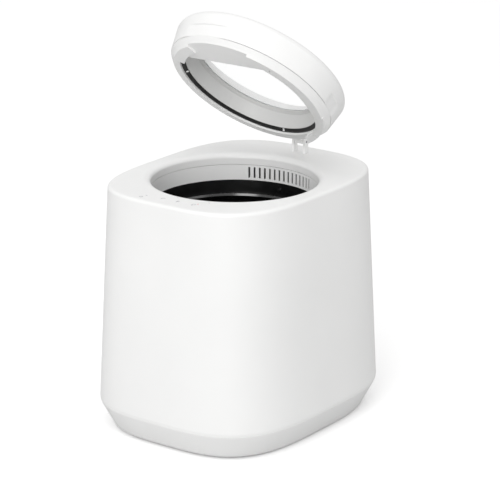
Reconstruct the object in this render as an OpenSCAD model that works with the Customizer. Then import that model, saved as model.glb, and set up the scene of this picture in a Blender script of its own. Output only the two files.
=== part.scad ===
/* [Body] */
// Height of the top deck above the floor
deck_z = 300; // [280:1:330]
// Half width of the deck, measured across the front
deck_half_w = 124; // [122:0.5:128]
// Half depth of the deck, measured from front to back
deck_half_d = 153.7; // [152:0.5:158]
// Height of the belt line where the drafted walls turn in to the base
belt_z = 34; // [28:1:40]
// Half width of the body at the belt line
belt_half_w = 135.5; // [132:0.5:140]
// Half depth of the body at the belt line
belt_half_d = 165.2; // [162:0.5:170]
// Half width of the underside
base_half_w = 120; // [112:0.5:124]
// Half depth of the underside
base_half_d = 149.8; // [142:0.5:153]
// Squareness of the plan outline, where 2 is an ellipse
corner_power = 3.3; // [3:0.1:4]
// Height over which the belt line is rounded, above it and below it
belt_blend = 4; // [3:0.5:8]
// Radius of the edge round the deck
deck_edge_r = 4; // [2:0.5:5]
// Thickness of the side walls
wall = 3; // [2.5:0.1:3.5]
// Thickness of the deck
deck_t = 3; // [2.5:0.1:3.5]
// Height of the feet under the base tray
foot_h = 2; // [1.5:0.1:4]
// Radius of each rubber foot
foot_r = 11; // [8:0.5:13]

/* [Well] */
// Distance of the well axis in front of the middle of the body
well_offset = 9.4; // [7:0.1:11]
// Width of the rounding round the mouth of the well
mouth_edge_w = 9; // [8:0.1:9.5]
// Height of the rounding round the mouth
mouth_edge_h = 6; // [5:0.1:7]
// Depth of the mouth moulding below the deck
mouth_depth = 13.5; // [12:0.1:14]
// Radial gap between the bucket's rim and the slotted collar
throat_gap = 2; // [1.6:0.1:3]
// Wall of the mouth moulding and of the slotted collar
collar_wall = 3; // [2.5:0.1:3.5]
// Height of the slotted collar under the mouth
collar_h = 19; // [18:0.1:20]
// Number of air slots in the collar
slot_count = 15; // [5:2:15]
// Angle between two air slots
slot_pitch = 3.78; // [3.2:0.01:3.8]
// Width of an air slot
slot_w = 2.8; // [1.8:0.1:3.2]
// Height of an air slot
slot_h = 13.5; // [8:0.5:14]
// Height of the black funnel ring
funnel_h = 18.6; // [17:0.1:20]
// Inner radius of the heated well that holds the bucket
well_r = 95.5; // [94:0.1:96]
// Sheet thickness of the well
well_sheet = 2; // [1.5:0.1:2.5]
// Thickness of the insulation round the well
jacket_t = 6; // [4:0.5:7]

/* [Bucket] */
// Depth of the bucket below its rim
bucket_depth = 136; // [120:1:138]
// Wall of the bucket
bucket_wall = 1.5; // [1:0.1:2]
// Radial clearance between the bucket and the well
bucket_gap = 1; // [0.6:0.1:1.5]
// Width of the rolled rim of the bucket
bead_w = 5; // [4:0.1:6]
// Height of the rolled rim of the bucket
bead_h = 3; // [2:0.1:4]
// Radius of the agitator shaft
shaft_r = 5; // [4:0.1:6]
// Reach of the agitator blades
blade_reach = 84; // [60:1:86]
// Height of the agitator hub
hub_h = 30; // [26:1:45]

/* [Lid] */
// Height of the lid from its seam to its top
cap_h = 35; // [33:0.5:38]
// Radius of the lid at its widest
cap_r = 109.7; // [108.5:0.1:112]
// Radius lost by the lid towards its seam
cap_draft = 4.7; // [4:0.1:5]
// Radius of the rounded top edge of the lid
cap_edge_r = 9; // [6:0.5:10]
// Thickness of the lid skirt at the seam
skirt_t = 3.4; // [3.2:0.1:3.8]
// Thickness of the lid top
cap_t = 3; // [2.8:0.1:3.4]
// Gap between the closed lid and the deck
lid_gap = 2; // [1.6:0.1:3]
// Radius of the clear window
window_r = 77.5; // [60:0.5:78]
// Height of the underside of the window above the seam
window_z = 20.5; // [19:0.5:22]
// Angle by which the lid stands open at rest
lid_open = 46; // [0:0.1:90]
// Depth of the deep rim below the seam
rim_depth = 9.5; // [8.5:0.1:12]
// Depth of the rear rim below the seam
ledge_depth = 5; // [4.8:0.1:5.4]
// Depth of the front rim below the seam, behind the finger grip
notch_depth = 7; // [6.5:0.1:8]
// Inner radius of the deep rim
rim_inner_r = 83; // [80:0.5:85]
// Distance of the straight front edge from the lid axis
chord_y = 59; // [52:0.5:70]
// Radius of the lower edge of the gasket
gasket_r = 89.4; // [88.5:0.1:89.5]
// Depth of the finger grips in the skirt
grip_depth = 1.6; // [0.8:0.1:1.8]

/* [Hinge] */
// Height of the hinge axis above the deck
hinge_lift = 14.4; // [12:0.1:18]
// Distance of the hinge axis behind the middle of the body
hinge_y = 124.6; // [122:0.1:128]
// Radius of the hinge pin
hinge_pin_r = 1.5; // [1:0.1:2]
// Radius of the hinge knuckle
knuckle_r = 3.4; // [3:0.1:3.6]
// Width of the hinge leaf
leaf_w = 12; // [11:0.5:20]
// Thickness of the hinge leaf
leaf_t = 4.4; // [3:0.1:5]
// Thickness of each ear of the hinge bracket
ear_w = 3.4; // [2.6:0.1:4.6]

/* [Drive] */
// Gear module
gear_module = 1.5; // [1.5:0.1:1.6]
// Teeth on each large gear
wheel_teeth = 36; // [36:4:40]
// Teeth on each pinion
pinion_teeth = 12; // [12:4:16]
// Room for the coupling between the chassis plate and the bucket
coupling_room = 21.6; // [20:0.1:24]
// Thickness of the chassis plate
chassis_t = 3; // [2:0.1:4]
// Height of the gearbox under the chassis plate
gearbox_h = 38; // [37:0.5:44]
// Radius of the drive motor
motor_r = 22; // [18:0.5:28]

/* [Air path] */
// Width of the air box behind the well
airbox_w = 120; // [110:1:124]
// Height of the shelf that carries the filter drawer
shelf_z = 170; // [166:1:180]
// Wall of the air box
airbox_wall = 2.2; // [1.6:0.1:2.6]
// Size of the square fan frame
fan_size = 56; // [50:1:60]
// Depth of the fan frame
fan_t = 20; // [15:1:25]
// Height of the fan axis above the floor
fan_z = 130; // [126:1:134]
// Number of fan blades
fan_blades = 7; // [5:1:9]
// Number of slots in the rear grille
grille_count = 8; // [4:1:9]

/* [Panel and inlet] */
// Number of touch keys on the front of the deck
key_count = 4; // [2:1:5]
// Distance between two touch keys
key_pitch = 22; // [16:1:24]
// Radius of each light window
lens_r = 1.2; // [0.8:0.1:2]
// Width of the mains inlet opening
inlet_w = 30; // [24:1:36]
// Height of the mains inlet opening
inlet_h = 22; // [18:1:26]

/* [Hidden] */

$fn = 96;
plan_points = 72;
eps = 0.01;
fit_gap = 0.3;
slide_gap = 0.5;
run_gap = 0.05;
press_gap = 0.02;

plastic = [0.95, 0.95, 0.94];
shade = [0.9, 0.9, 0.89];
black = [0.05, 0.05, 0.05];
rubber = [0.12, 0.12, 0.12];
metal = [0.72, 0.72, 0.73];
brass = [0.75, 0.6, 0.3];
board = [0.1, 0.35, 0.2];

well_y = -well_offset;
well_outer_r = well_r + well_sheet;
bucket_r = well_r - bucket_gap;
bead_inner_r = bucket_r - bucket_wall;
bead_outer_r = bead_inner_r + bead_w;
throat_r = bead_outer_r + throat_gap;
mouth_r = throat_r + mouth_edge_w;
collar_r = throat_r + collar_wall;
lip_z = deck_z - mouth_depth;
collar_z = lip_z - fit_gap - collar_h;
funnel_z = collar_z - funnel_h;
funnel_inner_r = bead_outer_r + 0.6;
flange_r = collar_r - 1;
bucket_z = funnel_z - bucket_depth;
bucket_floor = 2;
well_z = bucket_z - 6;
heater_h = 6;
heater_r = well_r - 15.5;
heater_bore_r = 30;
jacket_inner_r = well_outer_r + slide_gap;
jacket_r = jacket_inner_r + jacket_t;

lid_seam_z = deck_z + lid_gap;
seam_r = cap_r - cap_draft;
skirt_inner_r = seam_r - skirt_t;
rim_r = skirt_inner_r - fit_gap;
rim_top_z = 8;
rim_wall = 2.4;
seam_gap = 0.1;
plug_r = throat_r + 0.4;
plug_low_r = throat_r - 3;
ledge_r = gasket_r + 1.7;
gasket_z = 2.9 - ledge_depth;
gasket_lean = 3.3;
gasket_rise = 2.2;
gasket_w = 3.6;
clip_angles = [-81, 60, 176.5];
rim_slots = [[45.5, 90], [138, 96]];
grips = [[-25, 9, 15], [91, 111, 15], [-130, -112, 15]];
magnet_r = 4;
magnet_h = 2.8;
magnet_y = -chord_y - 17;
rim_left = -57;
bite_r = 80;
bite_shift = 13.5;
bite_angle = 165;
tab_r = throat_r - 0.7;
tab_inner_r = 92.5;
tab_depth = 14.5;
tab_start = 106;
tab_slope = 4.6;
rim_right = 151;
notch_half = 26;
window_lip = 2;
window_t = cap_t;
seat_r = window_r + fit_gap;
dish_r = window_r + 9.5;
hinge_z = deck_z + hinge_lift;
washer_t = 0.3;
ear_x = leaf_w / 2 + washer_t + 0.1;
bracket_t = 3;
bracket_d = 20;
bracket_hole_r = 1.25;
bracket_head_r = 2.4;
bracket_screw_x = ear_x + ear_w / 2;
bracket_screw_y = hinge_y - knuckle_r - 4.1;
pin_y = hinge_y - well_y;
pin_z = hinge_z - lid_seam_z;
leaf_screw_x = 3.2;
leaf_screw_y = skirt_inner_r + 1.4;

chassis_z = bucket_z - coupling_room - chassis_t;
gear_centre = gear_module * (wheel_teeth + pinion_teeth) / 2;
wheel_r = gear_module * wheel_teeth / 2;
pinion_r = gear_module * pinion_teeth / 2;
wheel_h = 10;
pressure_angle = 25;
addendum = 0.85;
dedendum = 1.15;
tooth_gap = 0.16;
case_z = chassis_z - gearbox_h;
case_floor = 3;
case_wall = 2.5;
cover_t = 4;
case_r = wheel_r + gear_module + 2 + case_wall;
idler_y = well_y - gear_centre;
motor_y = idler_y - gear_centre;
idler_wheel_z = case_z + 6;
output_wheel_z = idler_wheel_z + wheel_h + 4;
bearing_r = 8;
idler_pin_r = 2.5;
motor_shaft_r = 3;
coupling_r = 13;
coupling_z = chassis_z + chassis_t + 1.3;
coupling_h = bucket_z - 8 - coupling_z;
dog_l = 20;
dog_w = 5;
dog_h = 6.5;

airbox_gap = 9.9;
airbox_y = well_y + jacket_r + airbox_gap;
airbox_rear = min(deck_half_d, belt_half_d) - wall - 4.2;
rear_end = max(deck_half_d, belt_half_d) + 5;
airbox_z = chassis_z + chassis_t;
airbox_top = shelf_z + 86;
drawer_w = airbox_w - 2 * airbox_wall - 2 * slide_gap - 1;
drawer_y = airbox_y + airbox_wall + slide_gap;
drawer_z = shelf_z + airbox_wall + slide_gap;
drawer_top = airbox_top - airbox_wall - 1;
drawer_wall = 1.6;
door_w = airbox_w + 3;
door_z = shelf_z;
door_top = airbox_top;
duct_w = 100;
grille_pitch = 6.4;
grille_h = 3.4;
screen_pitch = 9.4;
screen_hole_r = 3.4;
pull_l = 52;
pull_r = 9;
fan_rear = airbox_rear - airbox_wall;
fan_r = fan_size / 2 - 2;

screw_r = 1.55;
screw_hole_r = 1.6;
clear_hole_r = 2.2;
head_r = 4;
boss_r = 6.5;
boss_x = base_half_w - 16;
boss_y = base_half_d - 80;
boss_z = belt_z + 6;
boss_h = 26;
post_x = 60;
post_y = 92;
tray_floor = 3;
foot_x = base_half_w - 36;
foot_y = base_half_d - 42;
foot_seat = 1.2;

duct_y = airbox_y + 24;
bush_r = 9;
dog_gap = 0.4;
hub_z = bucket_z + bucket_floor + 6.3;
well_stand_r = 88;
board_t = 1.6;
board_w = 100;
board_y = well_y - jacket_r - 16;
power_board_x = 14.8 - ring(airbox_z + 29)[0];
power_board_w = 80;
probe_r = 1.5;
probe_z = funnel_z + 11.4;
probe_angle = 93;
probe_l = 9;
output_hub_r = shaft_r + 2.2;
idler_hub_r = 5;

panel_y = well_y - mouth_r - (deck_half_d + well_y - mouth_r) * 0.42;
panel_x = -2;
inlet_x = -45;
inlet_z = chassis_z - 26;

// Sign of a value, counting zero as positive
function sgn(v) = v < 0 ? -1 : 1;

// Points of the squared oval outline with the given half sizes
function plan(half_w, half_d) = [
    for (i = [0 : plan_points - 1])
        let (t = 360 * (i + 0.5) / plan_points)
            [half_w * sgn(cos(t)) * pow(abs(cos(t)), 2 / corner_power),
             half_d * sgn(sin(t)) * pow(abs(sin(t)), 2 / corner_power)]
];

// Straight run between two half sizes as height changes
function between(z, z0, v0, z1, v1) = v0 + (v1 - v0) * (z - z0) / (z1 - z0);

// Half size at a height, with the belt line rounded by a parabola
function profile(z, base, belt, deck) =
    let (low = belt_z - belt_blend, high = belt_z + belt_blend,
         at_low = between(low, foot_h, base, belt_z, belt),
         at_high = between(high, belt_z, belt, deck_z, deck),
         t = (z - low) / (high - low))
    z <= low ? between(z, foot_h, base, belt_z, belt)
    : z >= high ? between(z, belt_z, belt, deck_z, deck)
    : (1 - t) * (1 - t) * at_low + 2 * t * (1 - t) * belt + t * t * at_high;

// One ring of the body surface at a height, moved in by inset
function ring(z, inset = 0) = [
    profile(z, base_half_w, belt_half_w, deck_half_w) - inset,
    profile(z, base_half_d, belt_half_d, deck_half_d) - inset,
    z
];

// Solid through a list of rings from the lowest to the highest
module loft(rings) {
    n = plan_points;
    m = len(rings);
    points = [for (r = rings) for (p = plan(r[0], r[1])) [p[0], p[1], r[2]]];
    bottom = [for (i = [0 : n - 1]) i];
    top = [for (i = [n - 1 : -1 : 0]) (m - 1) * n + i];
    sides = [
        for (k = [0 : m - 2]) for (i = [0 : n - 1])
            let (a = k * n + i, b = k * n + (i + 1) % n)
                each [[a, a + n, b + n], [a, b + n, b]]
    ];
    polyhedron(points, concat([bottom, top], sides));
}

// Upper body from a height to the deck, with the deck edge rounded
module upper_solid(from_z, inset = 0, top_z = deck_z, edge = 0) {
    steps = edge > 0 ? 4 : 0;
    loft(concat(
        [for (z = from_z; z < belt_z + belt_blend - eps; z = z + belt_blend / 4) ring(z, inset)],
        [ring(belt_z + belt_blend, inset), ring(top_z - edge, inset)],
        [for (i = [1 : 1 : steps])
            let (a = 90 * i / steps, r = ring(top_z - edge + edge * sin(a), inset + edge * (1 - cos(a))))
                r]
    ));
}

// Box centred on x, between low and high values in y and z
module span(w, y0, y1, z0, z1, x = 0) {
    translate([x - w / 2, y0, z0]) cube([w, y1 - y0, z1 - z0]);
}

// Plain ring about the z axis
module tube(outer, inner, z0, z1) {
    translate([0, 0, z0]) difference() {
        cylinder(r = outer, h = z1 - z0);
        translate([0, 0, -1]) cylinder(r = inner, h = z1 - z0 + 2);
    }
}

// Cylinder about the z axis between two heights
module rod(r, z0, z1) {
    translate([0, 0, z0]) cylinder(r = r, h = z1 - z0);
}

// Cylinder along the x axis between two places
module cross_rod(r, x0, x1) {
    translate([x0, 0, 0]) rotate([0, 90, 0]) cylinder(r = r, h = x1 - x0);
}

// Copies at the four corners of a rectangle
module corners(x, y) {
    for (sx = [-1, 1]) for (sy = [-1, 1]) translate([sx * x, sy * y, 0]) children();
}

// Wedge that covers the plan angles from a0 to a1, counted from the front towards +x
module sector(a0, a1, r, z0, z1) {
    rotate([0, 0, a0 - 90]) translate([0, 0, z0])
        rotate_extrude(angle = a1 - a0) square([r, z1 - z0]);
}

// The lid's own place: its seam plane at z = 0 and its axis on the z axis
module lid_place() {
    translate([0, hinge_y, hinge_z]) rotate([-lid_open, 0, 0])
        translate([0, well_y - hinge_y, lid_seam_z - hinge_z]) children();
}

// Places a child at an angle round the lid, counted from the front towards +x
module around(angle, r) {
    rotate([0, 0, angle - 90]) translate([r, 0, 0]) children();
}

// Line through the rear of the funnel ring, on which the probe lies
module probe_place() {
    translate([0, 0, probe_z]) rotate([0, 0, probe_angle]) rotate([0, 90, 0]) children();
}

// Places of the two screws that hold the hinge leaf to the skirt
module leaf_screw_places() {
    for (s = [-1, 1]) translate([s * leaf_screw_x, 0, pin_z]) rotate([-90, 0, 0]) children();
}

// Involute angle at a radius
function inv_angle(r, base) = r <= base ? 0 : sqrt(pow(r / base, 2) - 1) * 180 / PI - acos(base / r);

// Outline of a spur gear
function gear_points(teeth, phase) =
    let (pitch_r = gear_module * teeth / 2,
         base_r = pitch_r * cos(pressure_angle),
         root_r = pitch_r - dedendum * gear_module,
         tip_r = pitch_r + addendum * gear_module,
         half = 90 / teeth - tooth_gap / pitch_r * 90 / PI + inv_angle(pitch_r, base_r),
         start_r = max(base_r, root_r),
         radii = [root_r, start_r + eps, (start_r + tip_r) / 2, tip_r])
    [for (k = [0 : teeth - 1])
        let (mid = phase + 360 * k / teeth)
            each concat(
                [for (r = radii) let (a = mid - half + inv_angle(r, base_r)) r * [cos(a), sin(a)]],
                [for (i = [3 : -1 : 0])
                    let (r = radii[i], a = mid + half - inv_angle(r, base_r)) r * [cos(a), sin(a)]])
    ];

module gear(teeth, bore, z0, z1, phase = 0) {
    translate([0, 0, z0]) difference() {
        linear_extrude(z1 - z0) polygon(gear_points(teeth, phase));
        translate([0, 0, -1]) cylinder(r = bore, h = z1 - z0 + 2);
    }
}

// Section of the hollow inside the mouth, with the rounding that runs out into the deck
module mouth_hollow() {
    rotate_extrude() polygon(concat(
        [[0, lip_z - 1], [throat_r, lip_z - 1]],
        [for (a = [0 : 10 : 90])
            [mouth_r - mouth_edge_w * cos(a), deck_z - mouth_edge_h + mouth_edge_h * sin(a)]],
        [[mouth_r, deck_z + 1], [0, deck_z + 1]]));
}

module mouth_ring() {
    under = deck_z - deck_t;
    color(plastic) translate([0, well_y, 0]) difference() {
        rotate_extrude() polygon([
            [throat_r - 1, lip_z], [collar_r, lip_z], [collar_r, deck_z - mouth_edge_h - 1],
            [collar_r + 2.5, under - 3.2], [mouth_r + collar_wall, under - 2.5], [mouth_r + collar_wall, under],
            [mouth_r, under], [mouth_r, deck_z], [throat_r - 1, deck_z]]);
        mouth_hollow();
    }
}

// Ribs that tie the screw bosses of one side to the wall
module boss_ribs(side) {
    for (s = [-1, 1])
        span(belt_half_w - boss_x, s * boss_y - 1.5, s * boss_y + 1.5, boss_z, boss_z + boss_h - 1,
             side * (belt_half_w + boss_x) / 2);
}

module housing_shell() {
    color(plastic) {
        difference() {
            union() {
                difference() {
                    upper_solid(belt_z, edge = deck_edge_r);
                    upper_solid(belt_z - 1, wall, deck_z - deck_t);
                }
                corners(boss_x, boss_y) rod(boss_r, boss_z, boss_z + boss_h);
                for (s = [-1, 1]) intersection() {
                    upper_solid(belt_z, wall / 2);
                    boss_ribs(s);
                }
            }
            corners(boss_x, boss_y) rod(screw_hole_r, boss_z - 1, boss_z + 20);
            span(door_w + 2 * slide_gap, airbox_rear, rear_end, door_z - slide_gap, door_top + slide_gap);
            for (i = [0 : grille_count - 1])
                translate([0, 0, fan_z + (i - (grille_count - 1) / 2) * grille_pitch])
                    span(fan_size + 4, airbox_rear, rear_end, -grille_h / 2, grille_h / 2);
            span(inlet_w, belt_half_d / 2, rear_end, inlet_z - inlet_h / 2, inlet_z + inlet_h / 2, inlet_x);
            translate([0, well_y, 0]) rod(mouth_r + seam_gap, deck_z - deck_t - 1, deck_z + 1);
            for (s = [-1, 1])
                span(ear_w + 2 * fit_gap, hinge_y - knuckle_r - fit_gap, hinge_y + knuckle_r + fit_gap,
                     deck_z - deck_t - 1, deck_z + 1, s * (ear_x + ear_w / 2));
            for (i = [0 : key_count - 1]) key_place(i) rod(lens_r + run_gap, deck_z - deck_t - 1, deck_z + 1);
            for (s = [-1, 1]) translate([s * bracket_screw_x, bracket_screw_y, 0])
                rod(bracket_hole_r, deck_z - deck_t - 1, deck_z - 1);
        }
    }
}

module base_tray() {
    color(plastic) difference() {
        union() {
            difference() {
                loft(concat(
                    [ring(foot_h, 2), ring(foot_h + 0.6, 0.8), ring(foot_h + 2)],
                    [for (i = [0 : 4]) ring(belt_z - belt_blend * (4 - i) / 4)]));
                loft([ring(foot_h + tray_floor, wall + 1), ring(belt_z - belt_blend, wall),
                      ring(belt_z - belt_blend / 2, wall), ring(belt_z + 1, wall)]);
            }
            difference() {
                loft([ring(belt_z - 3, wall - 0.5), ring(belt_z, wall + fit_gap), ring(belt_z + 4, wall + fit_gap)]);
                loft([ring(belt_z - 4, wall + 1.6), ring(belt_z + 5, wall + 2)]);
            }
            corners(boss_x, boss_y) rod(boss_r - 0.5, foot_h + 1, boss_z);
            corners(post_x, post_y) rod(7, foot_h + 1, chassis_z);
        }
        corners(boss_x, boss_y) {
            rod(clear_hole_r, foot_h - 1, boss_z + 1);
            rod(head_r + 0.5, foot_h - 1, foot_h + 4);
        }
        corners(post_x, post_y) rod(screw_hole_r, chassis_z - 16, chassis_z + 1);
        corners(foot_x, foot_y) rod(foot_r + fit_gap, foot_h - 1, foot_h + foot_seat);
        for (i = [-2 : 2]) translate([i * 12, motor_y, foot_h]) cube([4, 50, 20], center = true);
    }
}

module rubber_feet() {
    color(rubber) corners(foot_x, foot_y) rotate_extrude()
        polygon([[0, 0], [foot_r - 1, 0], [foot_r, 1], [foot_r, foot_h + foot_seat], [0, foot_h + foot_seat]]);
}

module base_screws() {
    color(metal) corners(boss_x, boss_y) {
        rod(head_r, foot_h + 1, foot_h + 4);
        rod(screw_r, foot_h + 3, boss_z + 18);
    }
}

module chassis_plate() {
    color(metal) difference() {
        union() {
            translate([0, 0, chassis_z]) linear_extrude(chassis_t)
                polygon(plan(ring(chassis_z)[0] - wall - 2, ring(chassis_z)[1] - wall - 2));
            translate([0, well_y, 0]) for (a = [45 : 90 : 315]) rotate([0, 0, a])
                translate([well_stand_r, 0, 0]) rod(6, chassis_z + 1, well_z);
            for (s = [-1, 1]) {
                span(8, board_y - 3, board_y + 5, airbox_z - 1, airbox_z + 10, s * board_w / 2);
                translate([power_board_x, s * power_board_w / 2, 0]) span(8, -3, 3, airbox_z - 1, airbox_z + 10);
            }
        }
        translate([0, well_y, 0]) rod(bearing_r + 4, chassis_z - 1, airbox_z + 1);
        corners(post_x, post_y) rod(clear_hole_r, chassis_z - 1, airbox_z + 1);
        span(board_w + 2 * run_gap, board_y, board_y + board_t, airbox_z, airbox_z + 11);
        translate([power_board_x - board_t / 2, -power_board_w / 2, airbox_z])
            cube([board_t, power_board_w, 11]);
        for (s = [-1, 1]) translate([s * 92, 0, chassis_z - 1]) rod(18, 0, chassis_t + 2);
    }
}

module chassis_screws() {
    color(metal) corners(post_x, post_y) {
        rod(head_r, airbox_z, airbox_z + 2.5);
        rod(screw_r, chassis_z - 14, airbox_z + 1);
    }
}

module vent_collar() {
    color(plastic) translate([0, well_y, 0]) difference() {
        tube(collar_r, throat_r, collar_z, collar_z + collar_h);
        for (i = [0 : slot_count - 1])
            rotate([0, 0, 90 + (i - (slot_count - 1) / 2) * slot_pitch])
                translate([throat_r - 2, -slot_w / 2, collar_z + collar_h / 2 - slot_h / 2])
                    cube([collar_wall + 4, slot_w, slot_h]);
    }
}

module funnel_ring() {
    color(black) translate([0, well_y, 0]) difference() {
        rotate_extrude() polygon([
            [funnel_inner_r, funnel_z], [funnel_inner_r + 3, funnel_z],
            [collar_r - 0.1, collar_z - 2], [collar_r - 0.1, collar_z],
            [throat_r - 0.3, collar_z], [funnel_inner_r, funnel_z + 1.6]]);
        probe_place() rod(probe_r + press_gap, throat_r - 10, collar_r + 10);
    }
}

module well_liner() {
    color(metal) translate([0, well_y, 0]) rotate_extrude() polygon([
        [coupling_r + 5, well_z], [well_outer_r, well_z],
        [well_outer_r, funnel_z - well_sheet], [flange_r, funnel_z - well_sheet],
        [flange_r, funnel_z], [well_r, funnel_z],
        [well_r, well_z + well_sheet], [coupling_r + 5, well_z + well_sheet]]);
}

module insulation_jacket() {
    color(shade) translate([0, well_y, 0])
        tube(jacket_r, jacket_inner_r, well_z + 6, funnel_z - well_sheet - 6);
}

module heater_ring() {
    color(metal) translate([0, well_y, 0]) tube(heater_r, heater_bore_r, well_z - heater_h, well_z);
}

module humidity_probe() {
    color(metal) translate([0, well_y, 0]) probe_place() rod(probe_r, throat_r - 1.4, throat_r - 1.4 + probe_l);
}

module gearbox_outline(r) {
    translate([0, well_y]) circle(r);
    translate([0, motor_y]) circle(r);
    translate([-r, motor_y]) square([2 * r, well_y - motor_y]);
}

module gearbox_case() {
    color(shade) difference() {
        translate([0, 0, case_z]) linear_extrude(gearbox_h - cover_t) gearbox_outline(case_r);
        translate([0, 0, case_z + case_floor]) linear_extrude(gearbox_h) gearbox_outline(case_r - case_wall);
        translate([0, well_y, 0]) rod(bearing_r + press_gap, case_z - 1, case_z + case_floor + 1);
        translate([0, idler_y, 0]) rod(idler_pin_r + press_gap, case_z - 1, case_z + case_floor + 1);
        translate([0, motor_y, 0]) rod(motor_shaft_r + 2, case_z - 1, case_z + case_floor + 1);
    }
}

module gearbox_cover() {
    color(shade) difference() {
        translate([0, 0, chassis_z - cover_t]) linear_extrude(cover_t) gearbox_outline(case_r);
        translate([0, well_y, 0]) rod(bearing_r + press_gap, chassis_z - cover_t - 1, chassis_z + 1);
        translate([0, idler_y, 0]) rod(idler_pin_r + press_gap, chassis_z - cover_t - 1, chassis_z + 1);
    }
}

module shaft_bearings() {
    color(brass) translate([0, well_y, 0]) {
        tube(bearing_r, shaft_r + run_gap, case_z, case_z + case_floor);
        tube(bearing_r, shaft_r + run_gap, chassis_z - cover_t, chassis_z);
    }
}

module idler_pin() {
    color(metal) translate([0, idler_y, 0]) rod(idler_pin_r, case_z, chassis_z);
}

module motor_body() {
    color(metal) translate([0, motor_y, 0]) difference() {
        union() {
            rod(motor_r, foot_h + tray_floor + 3, case_z);
            rod(motor_shaft_r + 1.8, case_z - 1, case_z + 2);
        }
        rod(motor_shaft_r + run_gap, case_z - 20, case_z + 3);
    }
}

module motor_pinion() {
    color(metal) translate([0, motor_y, 0]) {
        gear(pinion_teeth, motor_shaft_r - eps, idler_wheel_z - 1, idler_wheel_z + wheel_h + 1, 180 / pinion_teeth);
        rod(motor_shaft_r, case_z - 18, idler_wheel_z + wheel_h + 2);
    }
}

module idler_gear() {
    color(shade) translate([0, idler_y, 0]) {
        gear(wheel_teeth, idler_pin_r + run_gap, idler_wheel_z, idler_wheel_z + wheel_h);
        gear(pinion_teeth, idler_pin_r + run_gap, idler_wheel_z + wheel_h - eps,
             output_wheel_z + wheel_h + 1, 180 / pinion_teeth);
        tube(idler_hub_r, idler_pin_r + run_gap, case_z + case_floor + fit_gap, idler_wheel_z + eps);
        tube(idler_hub_r, idler_pin_r + run_gap, output_wheel_z + wheel_h + 1 - eps, chassis_z - cover_t - fit_gap);
    }
}

module output_gear() {
    color(shade) translate([0, well_y, 0]) {
        gear(wheel_teeth, shaft_r + press_gap, output_wheel_z, output_wheel_z + wheel_h);
        tube(output_hub_r, shaft_r + press_gap, case_z + case_floor + fit_gap, output_wheel_z + eps);
    }
}

module output_shaft() {
    color(metal) translate([0, well_y, 0]) rod(shaft_r, case_z + 0.5, coupling_z + 4);
}

module drive_coupling() {
    color(black) translate([0, well_y, 0]) difference() {
        rod(coupling_r, coupling_z, coupling_z + coupling_h);
        rod(shaft_r + press_gap, coupling_z - 1, coupling_z + 4 + press_gap);
        translate([0, 0, coupling_z + coupling_h - dog_h / 2 + 1])
            cube([dog_l + 2 * dog_gap, dog_w + 2 * dog_gap, dog_h + 2], center = true);
    }
}

module bucket() {
    r = bucket_r;
    t = bucket_wall;
    f = 8;
    color(black) translate([0, well_y, 0]) difference() {
        union() {
            rotate_extrude() difference() {
                union() {
                    translate([0, bucket_z]) square([r - f, f]);
                    translate([r - f, bucket_z + f]) circle(f);
                    translate([0, bucket_z + f]) square([r, funnel_z - bucket_z - f + 1]);
                }
                translate([0, bucket_z + bucket_floor]) square([r - f, f]);
                translate([r - f, bucket_z + f]) circle(f - t);
                translate([0, bucket_z + f]) square([r - t, funnel_z - bucket_z]);
                translate([-2 * r, bucket_z - r]) square([2 * r, 4 * r]);
            }
            rotate_extrude() translate([bead_inner_r, funnel_z]) {
                square([bead_w - bead_h / 2, bead_h]);
                translate([bead_w - bead_h / 2, bead_h / 2]) circle(bead_h / 2);
            }
        }
        rod(bush_r + press_gap, bucket_z - 1, bucket_z + bucket_floor + 1);
    }
}

module bucket_bush() {
    color(brass) translate([0, well_y, 0]) {
        tube(bush_r, shaft_r + run_gap, bucket_z - 3.5, bucket_z + bucket_floor + 1);
        tube(bush_r + 5, shaft_r + run_gap, bucket_z + bucket_floor, bucket_z + bucket_floor + 3);
    }
}

module shaft_seal() {
    color(rubber) translate([0, well_y, 0])
        tube(bush_r, shaft_r + run_gap, bucket_z + bucket_floor + 3, bucket_z + bucket_floor + 6);
}

module agitator_shaft() {
    color(metal) translate([0, well_y, 0]) {
        rod(shaft_r, bucket_z - 8, hub_z + hub_h - 4);
        translate([0, 0, coupling_z + coupling_h - dog_h / 2 + dog_gap / 2])
            cube([dog_l, dog_w, dog_h - dog_gap], center = true);
    }
}

module agitator_blades() {
    color(metal) translate([0, well_y, 0]) difference() {
        union() {
            rod(12, hub_z, hub_z + hub_h - 6);
            translate([0, 0, hub_z + hub_h - 6]) cylinder(r1 = 12, r2 = 8, h = 6);
            for (k = [0 : 2]) rotate([0, 0, 120 * k]) translate([0, 0, hub_z + 8]) rotate([35, 0, 0])
                translate([6, -2, -7]) cube([blade_reach - 10, 4, 14]);
            for (k = [0 : 2]) rotate([0, 0, 120 * k])
                translate([blade_reach - 10, -2.5, hub_z]) cube([5, 9, 32]);
        }
        rod(shaft_r + press_gap, hub_z - 1, hub_z + hub_h - 4);
    }
}

module air_box() {
    back = airbox_rear;
    inner = airbox_w - 2 * airbox_wall;
    color(shade) difference() {
        span(airbox_w, airbox_y, back, airbox_z, airbox_top);
        span(inner, airbox_y + airbox_wall, back - airbox_wall, airbox_z + airbox_wall, shelf_z);
        span(inner, airbox_y + airbox_wall, back + 1, shelf_z + airbox_wall, airbox_top - airbox_wall);
        span(duct_w - 8, drawer_y + 1, duct_y - 4, airbox_top - airbox_wall - 1, airbox_top + 1);
        span(inner - 20, drawer_y + 5, back - 8, shelf_z - 1, shelf_z + airbox_wall + 1);
        translate([0, back, fan_z]) rotate([90, 0, 0]) translate([0, 0, -1]) cylinder(r = fan_r, h = airbox_wall + 2);
    }
}

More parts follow.
